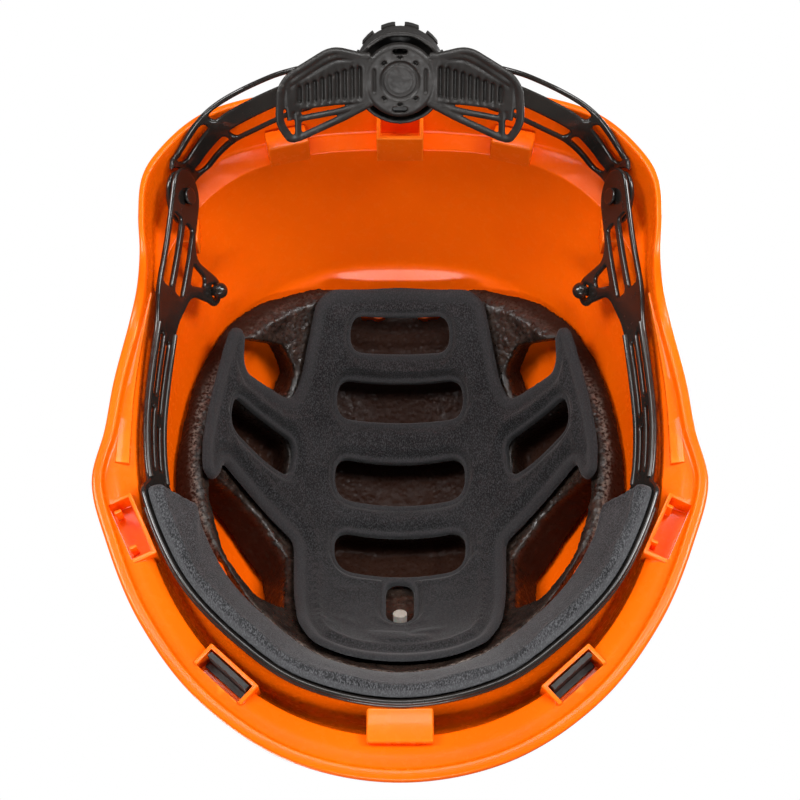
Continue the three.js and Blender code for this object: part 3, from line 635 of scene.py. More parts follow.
def matt_plastic():
    """Satin black nylon with spark texture, greyer along its edges as a painted highlight."""
    r = Recipe("matt_black_nylon", "matt_black_plastic", Specular_IOR_Level=0.35)
    tone = r.range(r.noise(12, 3), 0.35, 0.65)
    base = r.mix(tone, (0.012, 0.0105, 0.0095, 1), (0.021, 0.0185, 0.017, 1))
    # Painted highlight: a grey along the edges that stand out.
    base = r.painted_edge_highlight(base, 0.53, 0.64, 0.5, (0.075, 0.068, 0.063, 1))
    bumps = [(r.noise(0.35, 2, 0.7), 0.03), (r.noise(6, 2), 0.05)]
    return r.finished(base, bumps, Roughness=r.range(r.noise(2, 4), 0.35, 0.7, 0.36, 0.58))


def loop_fabric():
    """The looped half of hook-and-loop tape."""
    r = Recipe("loop_tape", "loop_fabric", Roughness=0.97, Sheen_Weight=0.4)
    loops = r.cells(0.7)
    base = r.mix(r.range(loops, 0.1, 0.6), (0.03, 0.03, 0.03, 1), (0.008, 0.008, 0.008, 1))
    return r.finished(base, [(loops, 0.3), (r.noise(0.3, 3), 0.1)])


def pale_nylon():
    r = Recipe("pale_nylon", "pale_nylon", Roughness=0.4, Subsurface_Weight=0.2, Subsurface_Scale=0.002)
    base = r.mix(r.range(r.noise(1.2, 3), 0.35, 0.7), (0.30, 0.27, 0.24, 1), (0.40, 0.37, 0.33, 1))
    return r.finished(base, [(r.noise(0.6, 3), 0.03)])


def plain_steel():
    r = Recipe("screw_steel", "screw_steel", Metallic=1.0)
    base = r.mix(r.range(r.noise(0.8, 4), 0.3, 0.7), (0.42, 0.42, 0.43, 1), (0.60, 0.60, 0.61, 1))
    bumps = [(r.noise(0.3, 2, stretch=(1, 1, 8)), 0.01)]
    return r.finished(base, bumps, Roughness=r.range(r.noise(0.5, 3), 0.3, 0.7, 0.22, 0.42))


def pale_floor():
    r = Recipe("pale_floor", None, Roughness=0.85)
    grain = r.range(r.noise(300, 3), 0.3, 0.7)
    pale = r.mix(grain, (0.82, 0.82, 0.82, 1), (0.86, 0.86, 0.86, 1))
    return r.finished(pale, [], Emission_Color=pale, Emission_Strength=0.85)


# ---- Shell ----


def dome_reach(bearing, z, inset=0.0):
    """How far the dome reaches from the z axis at a bearing and a height."""
    rise = min(1.0, max(0.0, z / (CROWN_Z - inset)))
    rear = math.sin(bearing) > 0
    base = REAR_SQUARENESS if rear else FRONT_SQUARENESS
    power = base + (ROOF_SQUARENESS - base) * rise
    across = abs(math.cos(bearing)) / (HALF_WIDTH - inset)
    along = abs(math.sin(bearing)) / ((REAR_REACH if rear else FRONT_REACH) - inset)
    fullness = DOME_FULLNESS + (FRONT_FULLNESS - DOME_FULLNESS) * max(0.0, -math.sin(bearing)) ** 2
    level = (1 - rise**fullness) ** (1 / fullness)
    return level / (across**power + along**power) ** (1 / power)


def inner_wall(bearing, foot, low):
    """The inside from its foot to the crown: straight at the rear up to a crease, a slope, then the dome."""
    rear = float(smooth(math.sin(bearing), 0.25, 0.6))
    crease = dome_reach(bearing, CREASE_Z, WALL) + 1.0
    slope_top = dome_reach(bearing, CREASE_Z + 9.5, WALL) - 1.8
    line_z = (low, CREASE_Z - 0.8, CREASE_Z + 0.8, CREASE_Z + 9.5, CREASE_Z + 14)
    line_reach = (foot, crease + 0.1, crease - 0.6, slope_top, dome_reach(bearing, CREASE_Z + 14, WALL))
    found = []
    for z in [*np.linspace(low + 1.2, CREASE_Z - 6, 12), *np.linspace(CREASE_Z - 2, CREASE_Z + 13, 11)]:
        full = dome_reach(bearing, z, WALL)
        found.append((full + (float(np.interp(z, line_z, line_reach)) - full) * rear, z))
    turns = np.radians(np.linspace(math.degrees(math.asin((CREASE_Z + 15.5) / (CROWN_Z - WALL))), 88, 16))
    heights = [(CROWN_Z - WALL) * math.sin(a) for a in turns]
    found += [(dome_reach(bearing, z, WALL), z) for z in heights]
    return found


def shell_column(x, y, z):
    """One section of the shell from the crown down the outside, round the lip and up the inside."""
    bearing, reach = math.atan2(y, x), math.hypot(x, y)
    skirt = min(1.0, max(0.0, -z / 14))
    ledge = LEDGE_Z + 2 * skirt
    foot = dome_reach(bearing, ledge + 2.5, WALL)
    lip = LIP - skirt
    shelf = foot + (reach - lip - 0.5 - foot) * (0.5 + 0.3 * skirt)
    low = ledge + 11
    turns = np.radians(np.linspace(88, math.degrees(math.asin((low + 6) / CROWN_Z)), OUTSIDE_ROWS))
    outside = [(dome_reach(bearing, CROWN_Z * math.sin(a)), CROWN_Z * math.sin(a)) for a in turns]
    corners = [
        (dome_reach(bearing, low), low, 5.0),
        (shelf + WALL, ledge + WALL + 1, 4.0),
        (reach, z + 3.5, 1.6),
        (reach, z, 1.6),
        (reach - lip, z, 0.8),
        (reach - lip - 0.5, z + 2.5, 0.9),
        (shelf, ledge, 1.6),
        (foot, ledge + 2.5, 1.8),
    ]
    wall = inner_wall(bearing, foot, ledge + 2.5)
    line = [outside[-1], *[(r, h) for r, h, _ in corners], wall[0]]
    bends = []
    for before, (r, h, radius), after in zip(line, corners, line[2:]):
        bends += rounded_corner(np.array(before), np.array((r, h)), np.array(after), radius, 0.45, 4)
    ring = [*outside, *bends, *wall]
    return [(r * math.cos(bearing), r * math.sin(bearing), h) for r, h in ring]


def rim_points(count):
    left = np.array(RIM, float)
    right = left[1:-1][::-1] * (-1, 1, 1)
    curve = spline(np.vstack([left, right]), closed=True, per_span=40)
    return even(curve, np.linalg.norm(np.diff(curve, axis=0), axis=1).sum() / (count + 2))


def kept_inside(tool, columns):
    """The tool without what would stand out of the shell's outside."""
    outer = [np.array(column[:OUTER_POINTS]) * (0.997, 0.997, 1) - (0, 0, 0.3) for column in columns]
    return cut(tool, "INTERSECT", [between_poles("outer", CROWN_Z - 0.3, -40, outer)])


def pocket_tools(pocket, side):
    """The box of a pocket and the hollow in it."""
    (x, y), (length, width), wall = pocket["at"], pocket["size"], pocket["wall"]
    low, top = pocket["low"], pocket["top"]
    turn = pocket["turn"] * side
    body = rounded_box("box", (length, width, top - low), (x * side, y, (top + low) / 2), turn, 0.7)
    inner = (length - 2 * wall, width - wall, top - wall - low + 3)
    outward = Matrix.Rotation(math.radians(turn), 2) @ Vector((0, -wall / 2 * (1 if y < 0 else -1)))
    centre = (x * side + outward[0], y + outward[1], (top - wall + low - 3) / 2)
    hollow = rounded_box("hollow", inner, centre, turn, 0.5)
    return body, hollow


def inner_tabs(side):
    """Two small tabs inside a side pocket."""
    (x, y), turn = SIDE_POCKET["at"], SIDE_POCKET["turn"] * side
    along = np.array((math.cos(math.radians(turn)), math.sin(math.radians(turn))))
    across = np.array((-along[1], along[0])) * side
    found = []
    for end in (-1, 1):
        px, py = np.array((x * side, y)) + along * end * 7.5 - across * 2.4
        found.append(rounded_box("tab", (1.2, 2.6, 8), (px, py, 6), turn, 0.3))
    return found


def flange_strip(side):
    """The raised flat strip along the side of the brim's underside."""
    path = spline([(99.2, 47, 3.6), (101.4, 30, 4.9), (103.2, 4, 5.1), (102.9, -24, 5.1)], per_span=12)
    across = np.array((1.0, 0.06, 0.0))
    section = [(-2.6, 1.6), (-2.6, -1.6), (-2.1, -2.0), (2.0, -2.5), (2.5, -2.2), (2.5, 1.6)]
    rings = [[(p + across * reach + (0, 0, rise)) * (side, 1, 1) for reach, rise in section] for p in path]
    return swept("strip", rings)


def build_shell(look):
    columns = [shell_column(*p) for p in rim_points(SHELL_COLUMNS)]
    shell = between_poles("shell_outer_and_inner", CROWN_Z, CROWN_Z - WALL, columns)
    boxes, hollows = [], []
    for pocket, side in [(p, s) for p in (SIDE_POCKET, CLIP_POCKET) for s in (1, -1)] + [(REAR_POCKET, 1)]:
        body, hollow = pocket_tools(pocket, side)
        boxes.append(body)
        hollows.append(hollow)
    ribs = [rounded_box("front_tab", (23, 12, 10), (0, -121.5, 7), 0, 1.2)]
    for side in (1, -1):
        ribs.append(rounded_box("corner", (7, 11, 10), (85 * side, 81, 16), 0, 0.8))
        ribs.append(rounded_box("rear_step", (17, 9, 13), (46 * side, 116.5, 3.6), -14 * side, 1.2))
        ribs.append(flange_strip(side))
    cut(shell, "UNION", [*boxes, *(kept_inside(rib, columns) for rib in ribs)])
    cut(shell, "DIFFERENCE", hollows)
    tabs = [tab for side in (1, -1) for tab in inner_tabs(side)]
    cut(shell, "UNION", tabs)
    shell.name = "helmet_shell"
    shown(shell, "helmet", look, "shell", 34)


# ---- Liner and crown pad ----


def on_head_side(points):
    """From degrees left, degrees back and a lift off the liner's inner face to a place."""
    p, q, lift = points.T
    a, b, c, y = HEAD_SIDE
    away, bearing = np.radians(np.hypot(p, q)), np.arctan2(q, p)
    unit = np.column_stack([np.sin(away) * np.cos(bearing), np.sin(away) * np.sin(bearing), np.cos(away)])
    normal = unit / (a, b, c)
    normal /= np.linalg.norm(normal, axis=1)[:, None]
    return unit * (a, b, c) + (0, y, 0) - normal * lift[:, None]


def slot_outline(q, width, height, bow=0.0):
    corners = block(-width / 2, q - height / 2, width / 2, q + height / 2)
    outline = even(filleted(corners, 0.72 * min(width, height), 8), 0.6)
    outline[:, 1] -= bow * (1 - (2 * outline[:, 0] / width) ** 2)
    return outline


def head_side_gap(points):
    """How far points lie outside the liner's face towards the head."""
    a, b, c, y = HEAD_SIDE
    scale = np.linalg.norm((points - (0, y, 0)) / (a, b, c), axis=1)
    return (scale - 1) * HEAD_SIDE_SIZE


def liner_edge(points):
    """The height of the liner's inner edge at each point."""
    x, y, _ = points.T
    rear = np.clip(y / np.maximum(np.hypot(x, y), 1), 0, None)
    return 50 + np.where(y > 0, 0.22, 0.12) * y + 12 * rear**6


def undercut(points):
    """Draws the liner's underside in behind the brow, where the shell's wall shows beyond it."""
    x, y, z = points.T
    a, b, c, shift = HEAD_SIDE
    gap = head_side_gap(points)
    steep = np.clip((z - liner_edge(points)) / UNDERSIDE_SLOPE, 0, None)
    gap += (np.minimum(gap, steep) - gap) * smooth(-y, 25, 60) * (gap > 0)
    level = np.hypot(x / a, (y - shift) / b)
    squared = (1 + gap / HEAD_SIDE_SIZE) ** 2 - (z / c) ** 2
    factor = np.where((y < -25) & (level > 0.2), np.sqrt(np.clip(squared, 0, None)) / level, 1)
    return np.column_stack([x * factor, shift + (y - shift) * factor, z])


def build_liner(look):
    """The foam liner, its beads standing slightly proud."""
    liner = fused(shaped(moulded("foam_liner", "impact_liner", 1.15, 1), undercut), 1.15, 7)
    co = coordinates(liner)
    normals = np.empty(len(co) * 3, np.float32)
    liner.data.vertices.foreach_get("normal", normals)
    normals = normals.reshape(-1, 3)
    nearest = np.array([noise.voronoi(Vector(p) / (BEAD * MM))[0][0] for p in co])
    rough = np.array([noise.noise(Vector(p) / (11 * MM)) for p in co])
    height = 0.28 * (1 - np.clip(nearest / 0.62, 0, 1) ** 2) + 0.25 * rough - 0.3
    set_coordinates(liner, co + normals * (height * MM)[:, None])
    gap = head_side_gap(co / MM)
    # deep marks the recesses behind the slots, where the foam gets painted bounce light.
    store(liner, "deep", smooth(gap, 1.2, 4.5))
    # ridge marks the liner's inner edge by the brow, where the foam gets a painted highlight.
    aside = (gap - 3.2 + 2.2 * smooth(-co[:, 1] / MM, 40, 85)) / 1.7
    below = liner_edge(co / MM) + 4.5 - co[:, 2] / MM
    in_front = 1 - 0.85 * smooth(co[:, 1] / MM, 25, 60)
    store(liner, "ridge", smooth(below, 0, 3) * np.exp(-(aside**2)) * in_front)
    shown(liner, "helmet", look, "impact_liner", 80)


def pad_faces(thickness, lift, edge):
    """A foam pad pressed thin along its edge and crowned inside it."""

    def height(distance):
        rise = smooth(distance, edge, edge * 1.55)
        groove = 0.1 * np.exp(-(((distance - edge) / (0.22 * edge)) ** 2))
        lip = 0.5 * np.sqrt(np.clip(1 - (1 - np.clip(distance / 0.7, 0, 1)) ** 2, 0, 1)) - groove
        return lip + rise * (1 - lip) + 0.1 * smooth(distance, edge, 16)

    def under(distance):
        return lift + 0.15 * thickness * (1 - smooth(distance, 0, 1.2))

    return (lambda d: lift + thickness * height(d)), under


def creased(points):
    """Soft folds beside the slots where the pad bends over the liner."""
    folds = [((-12, 26), (12, 25))]
    for (p0, q0), (p1, q1) in (((20, 17), (31, 19.5)), ((20, -1.5), (30, -3)), ((21, -22), (30, -27))):
        folds += [((p0, q0), (p1, q1)), ((-p0, q0), (-p1, q1))]
    depth = np.zeros(len(points))
    for start, end in folds:
        a, b = np.array(start, float), np.array(end, float)
        t = np.clip(((points[:, :2] - a) @ (b - a)) / ((b - a) @ (b - a)), 0, 1)
        away = np.linalg.norm(points[:, :2] - a - t[:, None] * (b - a), axis=1)
        depth += 0.55 * np.exp(-((away / 0.8) ** 2)) * np.sin(np.pi * np.clip(t, 0.08, 0.92))
    found = points.copy()
    found[:, 2] -= depth * (points[:, 2] > PAD_LIFT + 0.4 * PAD)
    return found


def build_crown_pad(look):
    half = PAD_OUTLINE
    outline = filleted([*half, *mirrored(half)[1:]], 3.2, 6)
    slit = even(filleted(ARM_SLIT, 2.6, 6), 0.6)
    holes = [slit, np.array(mirrored(slit)), *[slot_outline(*slot) for slot in [*PAD_SLOTS, PIN_SLOT]]]
    front, back = pad_faces(PAD, PAD_LIFT, PAD_BORDER)
    insets = [0.18, 0.45, 0.9, 1.5, 2.2, 3.2, 4.4]
    pad = flat_piece("crown_pad_cover", outline, holes, 1.25, front, back, insets, 2.0)
    shaped(pad, lambda points: on_head_side(creased(points)))
    puffed(pad, 3.0, 0.7, 0.03, 2.3)
    modified(pad, "SUBSURF", levels=1, render_levels=1)
    shown(pad, "helmet", look, "crown_pad", 70)


# ---- Headband ----


def band_curve():
    left = [(x, y, 0) for x, y in BAND_PATH]
    right = [(-x, y, z) for x, y, z in left[1:]][::-1]
    curve = spline([*right, *left], per_span=60)
    lengths = lengths_along(curve)
    return curve, lengths - lengths[-1] / 2


BAND_CURVE, BAND_LENGTHS = band_curve()
LEFT = BAND_LENGTHS > 0
PIVOT_S = float(np.interp(PIVOT[1], BAND_CURVE[LEFT][:, 1], BAND_LENGTHS[LEFT]))
STUD_S, STUD_H = PIVOT_S - 22.5, 28.0


def along_curve(curve, lengths, s):
    place = np.column_stack([np.interp(s, lengths, curve[:, k]) for k in range(3)])
    slope = np.gradient(curve, axis=0)
    slope /= np.linalg.norm(slope, axis=1)[:, None]
    tangent = np.column_stack([np.interp(s, lengths, slope[:, k]) for k in range(3)])
    return place, tangent / np.linalg.norm(tangent, axis=1)[:, None]


def on_band(points):
    """From s along the band, h up its face and t outwards to a place."""
    s, h, t = points.T
    place, along = along_curve(BAND_CURVE, BAND_LENGTHS, s)
    out = np.column_stack([along[:, 1], -along[:, 0], np.zeros(len(s))])
    up = np.array((0, 0, math.cos(LEAN))) - out * math.sin(LEAN)
    normal = out * math.cos(LEAN) + (0, 0, math.sin(LEAN))
    back = np.clip((np.abs(s) - 170) / (PIVOT_S - 170), 0, None)
    place[:, 2] = 12 + (PIVOT[2] - 12) * back * back
    return place + up * h[:, None] + normal * t[:, None]


def band_outline():
    fork = PIVOT_S - 40
    half = [
        (BROW_END - 1, BAND_BOTTOM), (BROW_END + 1.5, BAND_BOTTOM + 2.5), (BROW_END + 4, -6.5),
        (fork - 12, -6.5), (fork, -TAB_RADIUS),
        *arc(PIVOT_S, 0, TAB_RADIUS, -90, 90, 16), (PIVOT_S - 12, TAB_RADIUS),
        (STUD_S + 4.6, TAB_RADIUS + 3.5), *arc(STUD_S, STUD_H, 5.5, -10, 190, 14),
        (STUD_S - 9, TAB_RADIUS + 4), (fork - 8, 7), (BROW_END + 4, 7), (BROW_END - BROW_TAPER, BAND_TOP),
    ]
    return [*half, *mirrored(half)]


def band_slots():
    fork = PIVOT_S - 40
    start, middle = BROW_END + 9, (BROW_END + 9 + fork - 14) / 2
    slots = [
        block(start, -2.9, middle - 2, -1.0), block(middle + 2, -2.9, fork - 14, -1.0),
        block(start, 1.3, middle - 9, 3.2), block(middle - 5, 1.3, fork - 16, 3.2),
        block(fork + 4, -7.2, PIVOT_S - 9, -1.5), block(fork + 4, 1.5, PIVOT_S - 9, 7.0),
        [(STUD_S - 6.2, 11), (STUD_S + 2.2, 11), (STUD_S + 1.4, 20.5), (STUD_S - 2.4, 20.5)],
    ]
    holes = [even(filleted(slot, 1.4, 5), 0.5) for slot in slots]
    holes += [np.array(arc(STUD_S, STUD_H, 2.5, 0, 345, 23)), np.array(arc(PIVOT_S, 0, 2.2, 0, 345, 23))]
    holes += [np.array(mirrored(hole)) for hole in holes]
    return [*holes, np.array(arc(0, 0, 2.5, 0, 345, 23))]


def band_bar(start, end, h, t, radius):
    """A round bar along the band from one s to another, at a height and a distance out."""
    places = np.arange(start, end, 2.0 if end > start else -2.0)
    return tube("bar", on_band(np.array([(s, h, t) for s in places])), radius, 10)


def build_headband(look):
    front, back = rounded_edge(BAND / 2, 0.9)
    outline = filleted(band_outline(), 5.0, 7)
    band = flat_piece("headband_strip", outline, band_slots(), 1.5, front, back, [0.12, 0.35, 0.7, 1.0])
    parts = [shaped(band, on_band)]
    parts += [band_bar(-118, 119, -TAB_RADIUS - 2.2, BAND / 2, 0.9), band_bar(-112, 113, 10.5, BAND / 2, 0.9)]
    start, end = BROW_END + 5, PIVOT_S - 50
    for h in (-5.6, 6.1):
        parts.append(band_bar(start, end, h, -BAND / 2 + 0.1, 0.95))
        parts.append(band_bar(-start, -end, h, -BAND / 2 + 0.1, 0.95))
    band = joined("headband_moulding", parts)
    shown(band, "helmet", look, "headband", 50)


def build_brow_pad(look):
    low, high, corner = BAND_BOTTOM + 1, BAND_TOP - 3, 4
    half = [
        *arc(BROW_END - corner, low + corner, corner, -90, 0, 8),
        *arc(BROW_END - 2 - corner, high - corner, corner, 0, 90, 8),
    ]
    outline = [*half, *mirrored(half)]
    against = -BAND / 2 - 0.7

    def inner(distance):
        rise = np.sqrt(np.clip(1 - (1 - np.clip(distance / 3.2, 0, 1)) ** 2, 0, 1))
        return against - BROW_PAD * (0.22 + 0.68 * rise + 0.10 * smooth(distance, 2.5, 13))

    outer = lambda distance: np.full(len(distance), against)
    insets = [0.25, 0.6, 1.2, 2.0, 3.0]
    pad = flat_piece("brow_pad_cover", outline, [], 1.9, outer, inner, insets)
    shaped(pad, on_band)
    puffed(pad, 3.0, 0.9, 0.03, 0.9)
    modified(pad, "SUBSURF", levels=1, render_levels=1)
    shown(pad, "helmet", look, "brow_pad", 75)


# ---- Rear straps ----

STRAP_CURVE = spline(STRAP_PATH, per_span=60)
STRAP_LENGTHS = lengths_along(STRAP_CURVE)
STRAP_LENGTH = float(STRAP_LENGTHS[-1])


def on_strap(points):
    """From s along the strap from its pivot, h up its face and t outwards to a place."""
    s, h, t = points.T
    tab = on_band(np.column_stack([PIVOT_S + np.minimum(s, 14), h, t + STRAP_OUT]))
    place, along = along_curve(STRAP_CURVE, STRAP_LENGTHS, np.clip(s, 0, None))
    turn = smooth(s / STRAP_LENGTH, 0.1, 0.8)[:, None]
    first = np.array((-math.sin(LEAN), 0, math.cos(LEAN)))
    last = np.array((0, -math.sin(NAPE_TILT), math.cos(NAPE_TILT)))
    up = first * (1 - turn) + last * turn
    up -= along * (up * along).sum(axis=1)[:, None]
    up /= np.linalg.norm(up, axis=1)[:, None]
    out = np.cross(along, up)
    own = place + up * h[:, None] + out * (t + STRAP_OUT)[:, None]
    share = smooth(s, 7, 15)[:, None]
    return tab * (1 - share) + own * share


def strap_plate(name, side, outline, slots):
    """A flat plate of a strap with its slots, bent along the strap's path on one side."""
    holes = [even(filleted(slot, 1.6, 5), 0.5) for slot in slots]
    if not slots:
        holes = [np.array(arc(0, 0, 2.2, 0, 345, 23))]
    front, back = rounded_edge(BAND / 2, 0.9)
    plate = flat_piece(name, outline, holes, 1.4, front, back, [0.12, 0.35, 0.7, 1.0])
    return shaped(plate, lambda points: on_strap(points) * (side, 1, 1))


def build_strap(side, label, look):
    """The round eye stays on its rivet with the helmet; the strap beyond it is given no body."""
    node = f"rear_strap_{label}"
    eye = strap_plate(f"{node}_eye", side, np.array(arc(0, 0, EYE_RADIUS, 0, 350, 35)), [])
    shown(eye, "helmet", look, node, 50)
    end, start = STRAP_LENGTH, EYE_RADIUS + EYE_GAP
    outline = [
        *arc(0, 0, start, 52, -52, 14), (14, -STRAP_TOP), (end, 1 - STRAP_TOP),
        (end, STRAP_TOP - 1), (14, STRAP_TOP),
    ]
    cross = 0.42 * end
    slots = []
    for s0, s1 in ((start + 2.2, cross - 1.5), (cross + 1.5, end - 3)):
        slots.append([(s0, -7.2), (s1, -6.6), (s1, -3.4), (s0, -3.4)])
        slots.append([(s0, 3.4), (s1, 3.4), (s1, 6.6), (s0, 7.2)])
    strap = strap_plate(f"{node}_moulding", side, filleted(outline, 2.0, 5), slots)
    shown(strap, None, look, node, 50)
    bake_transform(strap)


# ---- Nape device ----


def on_nape(points):
    x, y, z = points.T
    up, near = nape_axes()
    return NAPE_CENTRE + np.outer(x, (1, 0, 0)) + np.outer(y, up) + np.outer(z, near)


def nape_axes():
    up = np.array((0, -math.sin(NAPE_TILT), math.cos(NAPE_TILT)))
    near = np.array((0, -math.cos(NAPE_TILT), -math.sin(NAPE_TILT)))
    return up, near


def moved_along_nape(points, chosen, place):
    """Moves chosen points along the nape device's own axis to a place on it, in millimetres."""
    up, near = nape_axes()
    away = points - NAPE_CENTRE
    depth, radius = away @ near, np.hypot(away[:, 0], away @ up)
    step = np.where(chosen(depth, radius), place - depth, 0)
    return points + np.outer(step, near)


def housing_deepened(points):
    return moved_along_nape(points, lambda depth, radius: (depth < -11.2) & (radius > 5.6), HOUSING_BACK)


def knob_thinned(points):
    back = HOUSING_BACK - 0.4
    return moved_along_nape(points, lambda depth, radius: (depth > back) & (radius > 5.2), back)


def bowed(points):
    """Bends the wings towards the head."""
    found = points.copy()
    found[:, 2] += points[:, 0] ** 2 / (2 * WING_CURVE)
    return found


WING_LOOP = [
    (11, -9), (13.8, -9), (25.2, -12.4), (40.9, -4.4), (43.9, 0), (44.6, 12.4), (40.7, 19.3), (37.2, 19),
    (20.9, 13.4), (11, 8.6),
]
WING_STRUTS = [
    [(37.9, 6), (38, 19)], [(41, -3.4), (41, 6), (40.6, 12)], [(12, -7.5), (24, -9.6), (40, -1.8)],
    [(13, 9.2), (24, 11), (37.5, 12)],
]
WING_PLATE = [
    (8, -8), (16.4, -8), (24, -8.4), (38.9, -1.4), (42, 1), (42, 9.6), (36.6, 8.8), (16, 8.4), (8, 9),
]


def wing_parts(side):
    """The ribbed plate of one wing and the round bars that frame it."""
    slots = []
    for i in range(RIBS):
        x = 15.2 + 2.75 * i
        low, high = -5.6 + 0.72 * max(0, i - 1), 6.8
        slots.append(even(filleted(block(x - 0.62, low, x + 0.62, high), 0.8, 5), 0.5))
    front, back = rounded_edge(PLATE / 2, 0.8, -PLATE / 2)
    outline = filleted(WING_PLATE, 2, 5)
    parts = [flat_piece("plate", outline, slots, 1.4, front, back, [0.3, 0.8])]
    thin = rounded_edge(0.5, 0.4, 0.7 - PLATE)
    parts.append(flat_piece("backing", outline, [], 1.4, *thin, [0.3]))
    loop = [WING_LOOP[0], *filleted(WING_LOOP, 4, 6)[7:-7], WING_LOOP[-1]]
    parts.append(tube("bar", [(x, y, -1.2) for x, y in loop], 1.5, 8))
    for strut in WING_STRUTS:
        path = spline([(x, y, -1.2) for x, y in strut], per_span=10)
        parts.append(tube("strut", path, 1.3, 8))
    for part in parts:
        shaped(part, lambda points: bowed(points) * (side, 1, 1))
    return parts


def build_cradle(look):
    front = [(0, 0.6), (7.2, 0.6), (7.5, 1.3), (PLATE_RADIUS - 1.6, 1.5), (PLATE_RADIUS - 0.3, 0.9)]
    back = [(PLATE_RADIUS, 0), (PLATE_RADIUS, -PLATE + 0.5), (PLATE_RADIUS - 0.5, -PLATE), (0, -PLATE)]
    hub = turned("hub", [*front, *back], 72)
    holes = [rounded_box("slot", (1.1, 9.5, 12), (9.6 * side, 0, 0), 0, 0.4) for side in (1, -1)]
    for side in (1, -1):
        holes.append(rounded_box("slot", (5.5, 2.2, 12), (0, 10.9 * side, 0), 0, 0.4))
        for angle in (48, 90, 132):
            x, y = 8.9 * math.cos(math.radians(angle)), 8.9 * math.sin(math.radians(angle)) * side
            holes.append(rounded_box("hole", (1.9, 1.3, 5), (x, y, 2.4), angle * side + 90, 0.3))
    cut(hub, "DIFFERENCE", holes)
    cradle = joined("nape_cradle_moulding", [hub, *wing_parts(1), *wing_parts(-1)])
    fused(cradle, 0.42, 3)
    shaped(cradle, on_nape)
    shown(cradle, "nape_device", look, "nape_cradle", 60)


def build_cap(look):
    """The pressed disc in the middle of the cradle, with a shallow dish."""
    profile = [(0, 0.55), (4.6, 0.6), (5.6, 0.95), (6.2, 0.85), (6.5, 0.4), (6.5, -2.2), (0, -2.2)]
    cap = shaped(turned("cradle_cap_disc", profile, 64), on_nape)
    modified(cap, "BEVEL", width=0.0002, segments=2)
    shown(cap, "nape_device", look, "cradle_cap", 35)


def build_moulding(name, node, body, look, voxel, rounds, formula=None):
    """A small hard piece with its CAD shape, its corners softened."""
    piece = moulded(name, node, voxel, rounds)
    if formula:
        shaped(piece, formula)
    shown(piece, body, look, node, 45)


def build_plain_mouldings(matt, gloss, pale, steel):
    build_moulding("knob_housing_moulding", "knob_housing", "nape_device", matt, 0.42, 3, housing_deepened)
    build_moulding("ratchet_ring_moulding", "ratchet_ring", "nape_device", matt, 0.42, 3)
    build_moulding("size_knob_moulding", "size_knob", "knob", matt, 0.36, 2, knob_thinned)
    build_moulding("pinion_moulding", "pinion", "knob", matt, 0.36, 2)
    build_moulding("ratchet_pawl_moulding", "ratchet_pawl", "knob", matt, 0.36, 2)
    build_moulding("knob_screw", "pinion_screw", "knob", steel, 0.25, 2)
    for side in ("left", "right"):
        build_moulding(f"rack_{side}_moulding", f"rack_{side}", f"{side}_rack", matt, 0.3, 1)
        build_moulding(f"lamp_clip_{side}_moulding", f"lamp_clip_{side}", "helmet", matt, 0.3, 2)
        build_moulding(f"hanger_stud_{side}_moulding", f"hanger_stud_{side}", "helmet", gloss, 0.3, 2)
        build_moulding(f"pivot_rivet_{side}_moulding", f"pivot_rivet_{side}", "helmet", gloss, 0.3, 2)
    build_moulding("front_plug_moulding", "front_plug", "helmet", gloss, 0.3, 2)
    build_moulding("pad_pin_moulding", "pad_pin", "helmet", pale, 0.25, 3)


def build_patches(look):
    for number in range(1, 6):
        node = f"grip_patch_{number}"
        build_moulding(f"{node}_tape", node, "helmet", look, 0.35, 2)


# ---- Studio ----


def area_light(name, place, target, size, power):
    light = bpy.data.lights.new(name, "AREA")
    light.shape = "RECTANGLE"
    light.size, light.size_y = size
    light.energy = power
    obj = bpy.data.objects.new(name, light)
    obj.location = place
    obj.rotation_euler = (Vector(target) - Vector(place)).to_track_quat("-Z", "Y").to_euler()
    bpy.context.scene.collection.objects.link(obj)


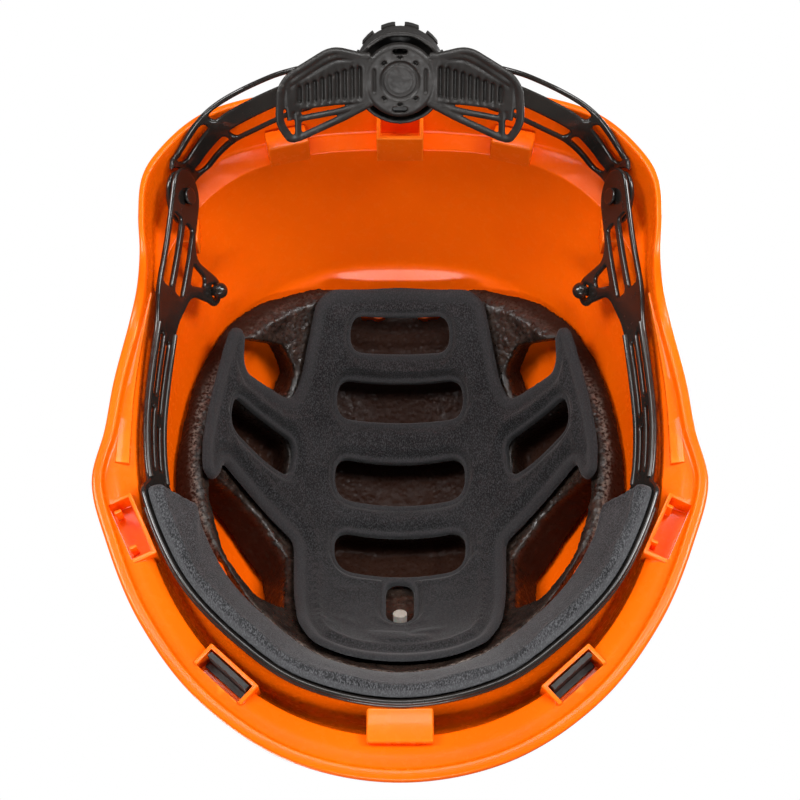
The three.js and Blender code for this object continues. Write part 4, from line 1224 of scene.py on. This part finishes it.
def studio():
    scene = bpy.context.scene
    scene.view_settings.view_transform = "Standard"
    world = bpy.data.worlds.new("white_room")
    world.use_nodes = True
    tree = world.node_tree
    background = tree.nodes["Background"]
    seen = tree.nodes.new("ShaderNodeLightPath").outputs["Is Camera Ray"]
    strength = tree.nodes.new("ShaderNodeMapRange")
    tree.links.new(seen, strength.inputs["Value"])
    strength.inputs["To Min"].default_value = WORLD_LIGHT
    tree.links.new(strength.outputs[0], background.inputs["Strength"])
    background.inputs["Color"].default_value = (1, 1, 1, 1)
    scene.world = world
    area_light("rear_below", (0, 0.42, -0.85), (0, 0.05, 0.02), (0.34, 0.2), 2.2)
    area_light("middle_below", (0, 0.15, -0.9), (0, 0.12, 0.02), (0.7, 0.1), 2.4)
    area_light("front_below", (0, -0.85, -0.42), (0, 0.05, 0.06), (0.5, 0.14), 4.5)
    area_light("left_below", (0.64, 0.12, -0.7), (0, 0, 0.04), (0.3, 0.4), 7)
    area_light("right_below", (-0.64, 0.12, -0.7), (0, 0, 0.04), (0.3, 0.4), 8)
    area_light("key_above", (0.7, -0.7, 1.0), (0, 0, 0.05), (0.6, 0.6), 12)
    area_light("rim_above", (-0.8, 0.7, 0.7), (0, 0, 0.05), (0.6, 0.4), 8)
    corners = block(-FLOOR_REACH, -FLOOR_REACH, FLOOR_REACH, FLOOR_REACH)
    floor = new_object("floor", [(x, y, FLOOR_Z) for x, y in corners], [(0, 1, 2, 3)])
    floor.data.materials.append(pale_floor()[0])
    floor.visible_diffuse = False
    floor.visible_glossy = False


def camera():
    """Looks up into the helmet from below and slightly in front, with the rear of the helmet at the top."""
    s, c = math.sin(VIEW_TILT), math.cos(VIEW_TILT)
    data = bpy.data.cameras.new("camera")
    data.lens = VIEW_LENS
    data.sensor_width = 36
    data.clip_start, data.clip_end = 0.02, 20
    obj = bpy.data.objects.new("camera", data)
    columns = [(-1, 0, 0), (0, c, -s), (0, -s, -c)]
    turn = Matrix(columns).transposed().to_4x4()
    place = Vector((0, -s, -c)) * VIEW_DISTANCE * MM
    obj.matrix_world = Matrix.Translation(place) @ turn
    bpy.context.scene.collection.objects.link(obj)
    bpy.context.scene.camera = obj


# ---- The helmet ----

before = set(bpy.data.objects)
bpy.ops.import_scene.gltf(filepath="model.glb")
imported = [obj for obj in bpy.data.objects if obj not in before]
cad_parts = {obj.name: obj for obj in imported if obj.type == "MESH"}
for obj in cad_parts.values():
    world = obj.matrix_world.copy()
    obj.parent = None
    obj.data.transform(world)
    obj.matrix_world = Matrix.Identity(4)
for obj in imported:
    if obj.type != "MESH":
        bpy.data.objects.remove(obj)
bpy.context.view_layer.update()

camera()
studio()
orange, foam, matt, gloss = shell_plastic(), liner_foam(), matt_plastic(), gloss_plastic()
build_shell(orange)
build_liner(foam)
build_crown_pad(pad_fabric("crown_pad_fabric", PAD_BORDER, 0.5))
build_brow_pad(pad_fabric("brow_pad_fabric", 0.2, 1.1))
build_headband(gloss)
for strap_side, strap_label in ((1, "left"), (-1, "right")):
    build_strap(strap_side, strap_label, gloss)
build_cradle(matt)
build_cap(matt)
build_plain_mouldings(matt, gloss, pale_nylon(), plain_steel())
build_patches(loop_fabric())
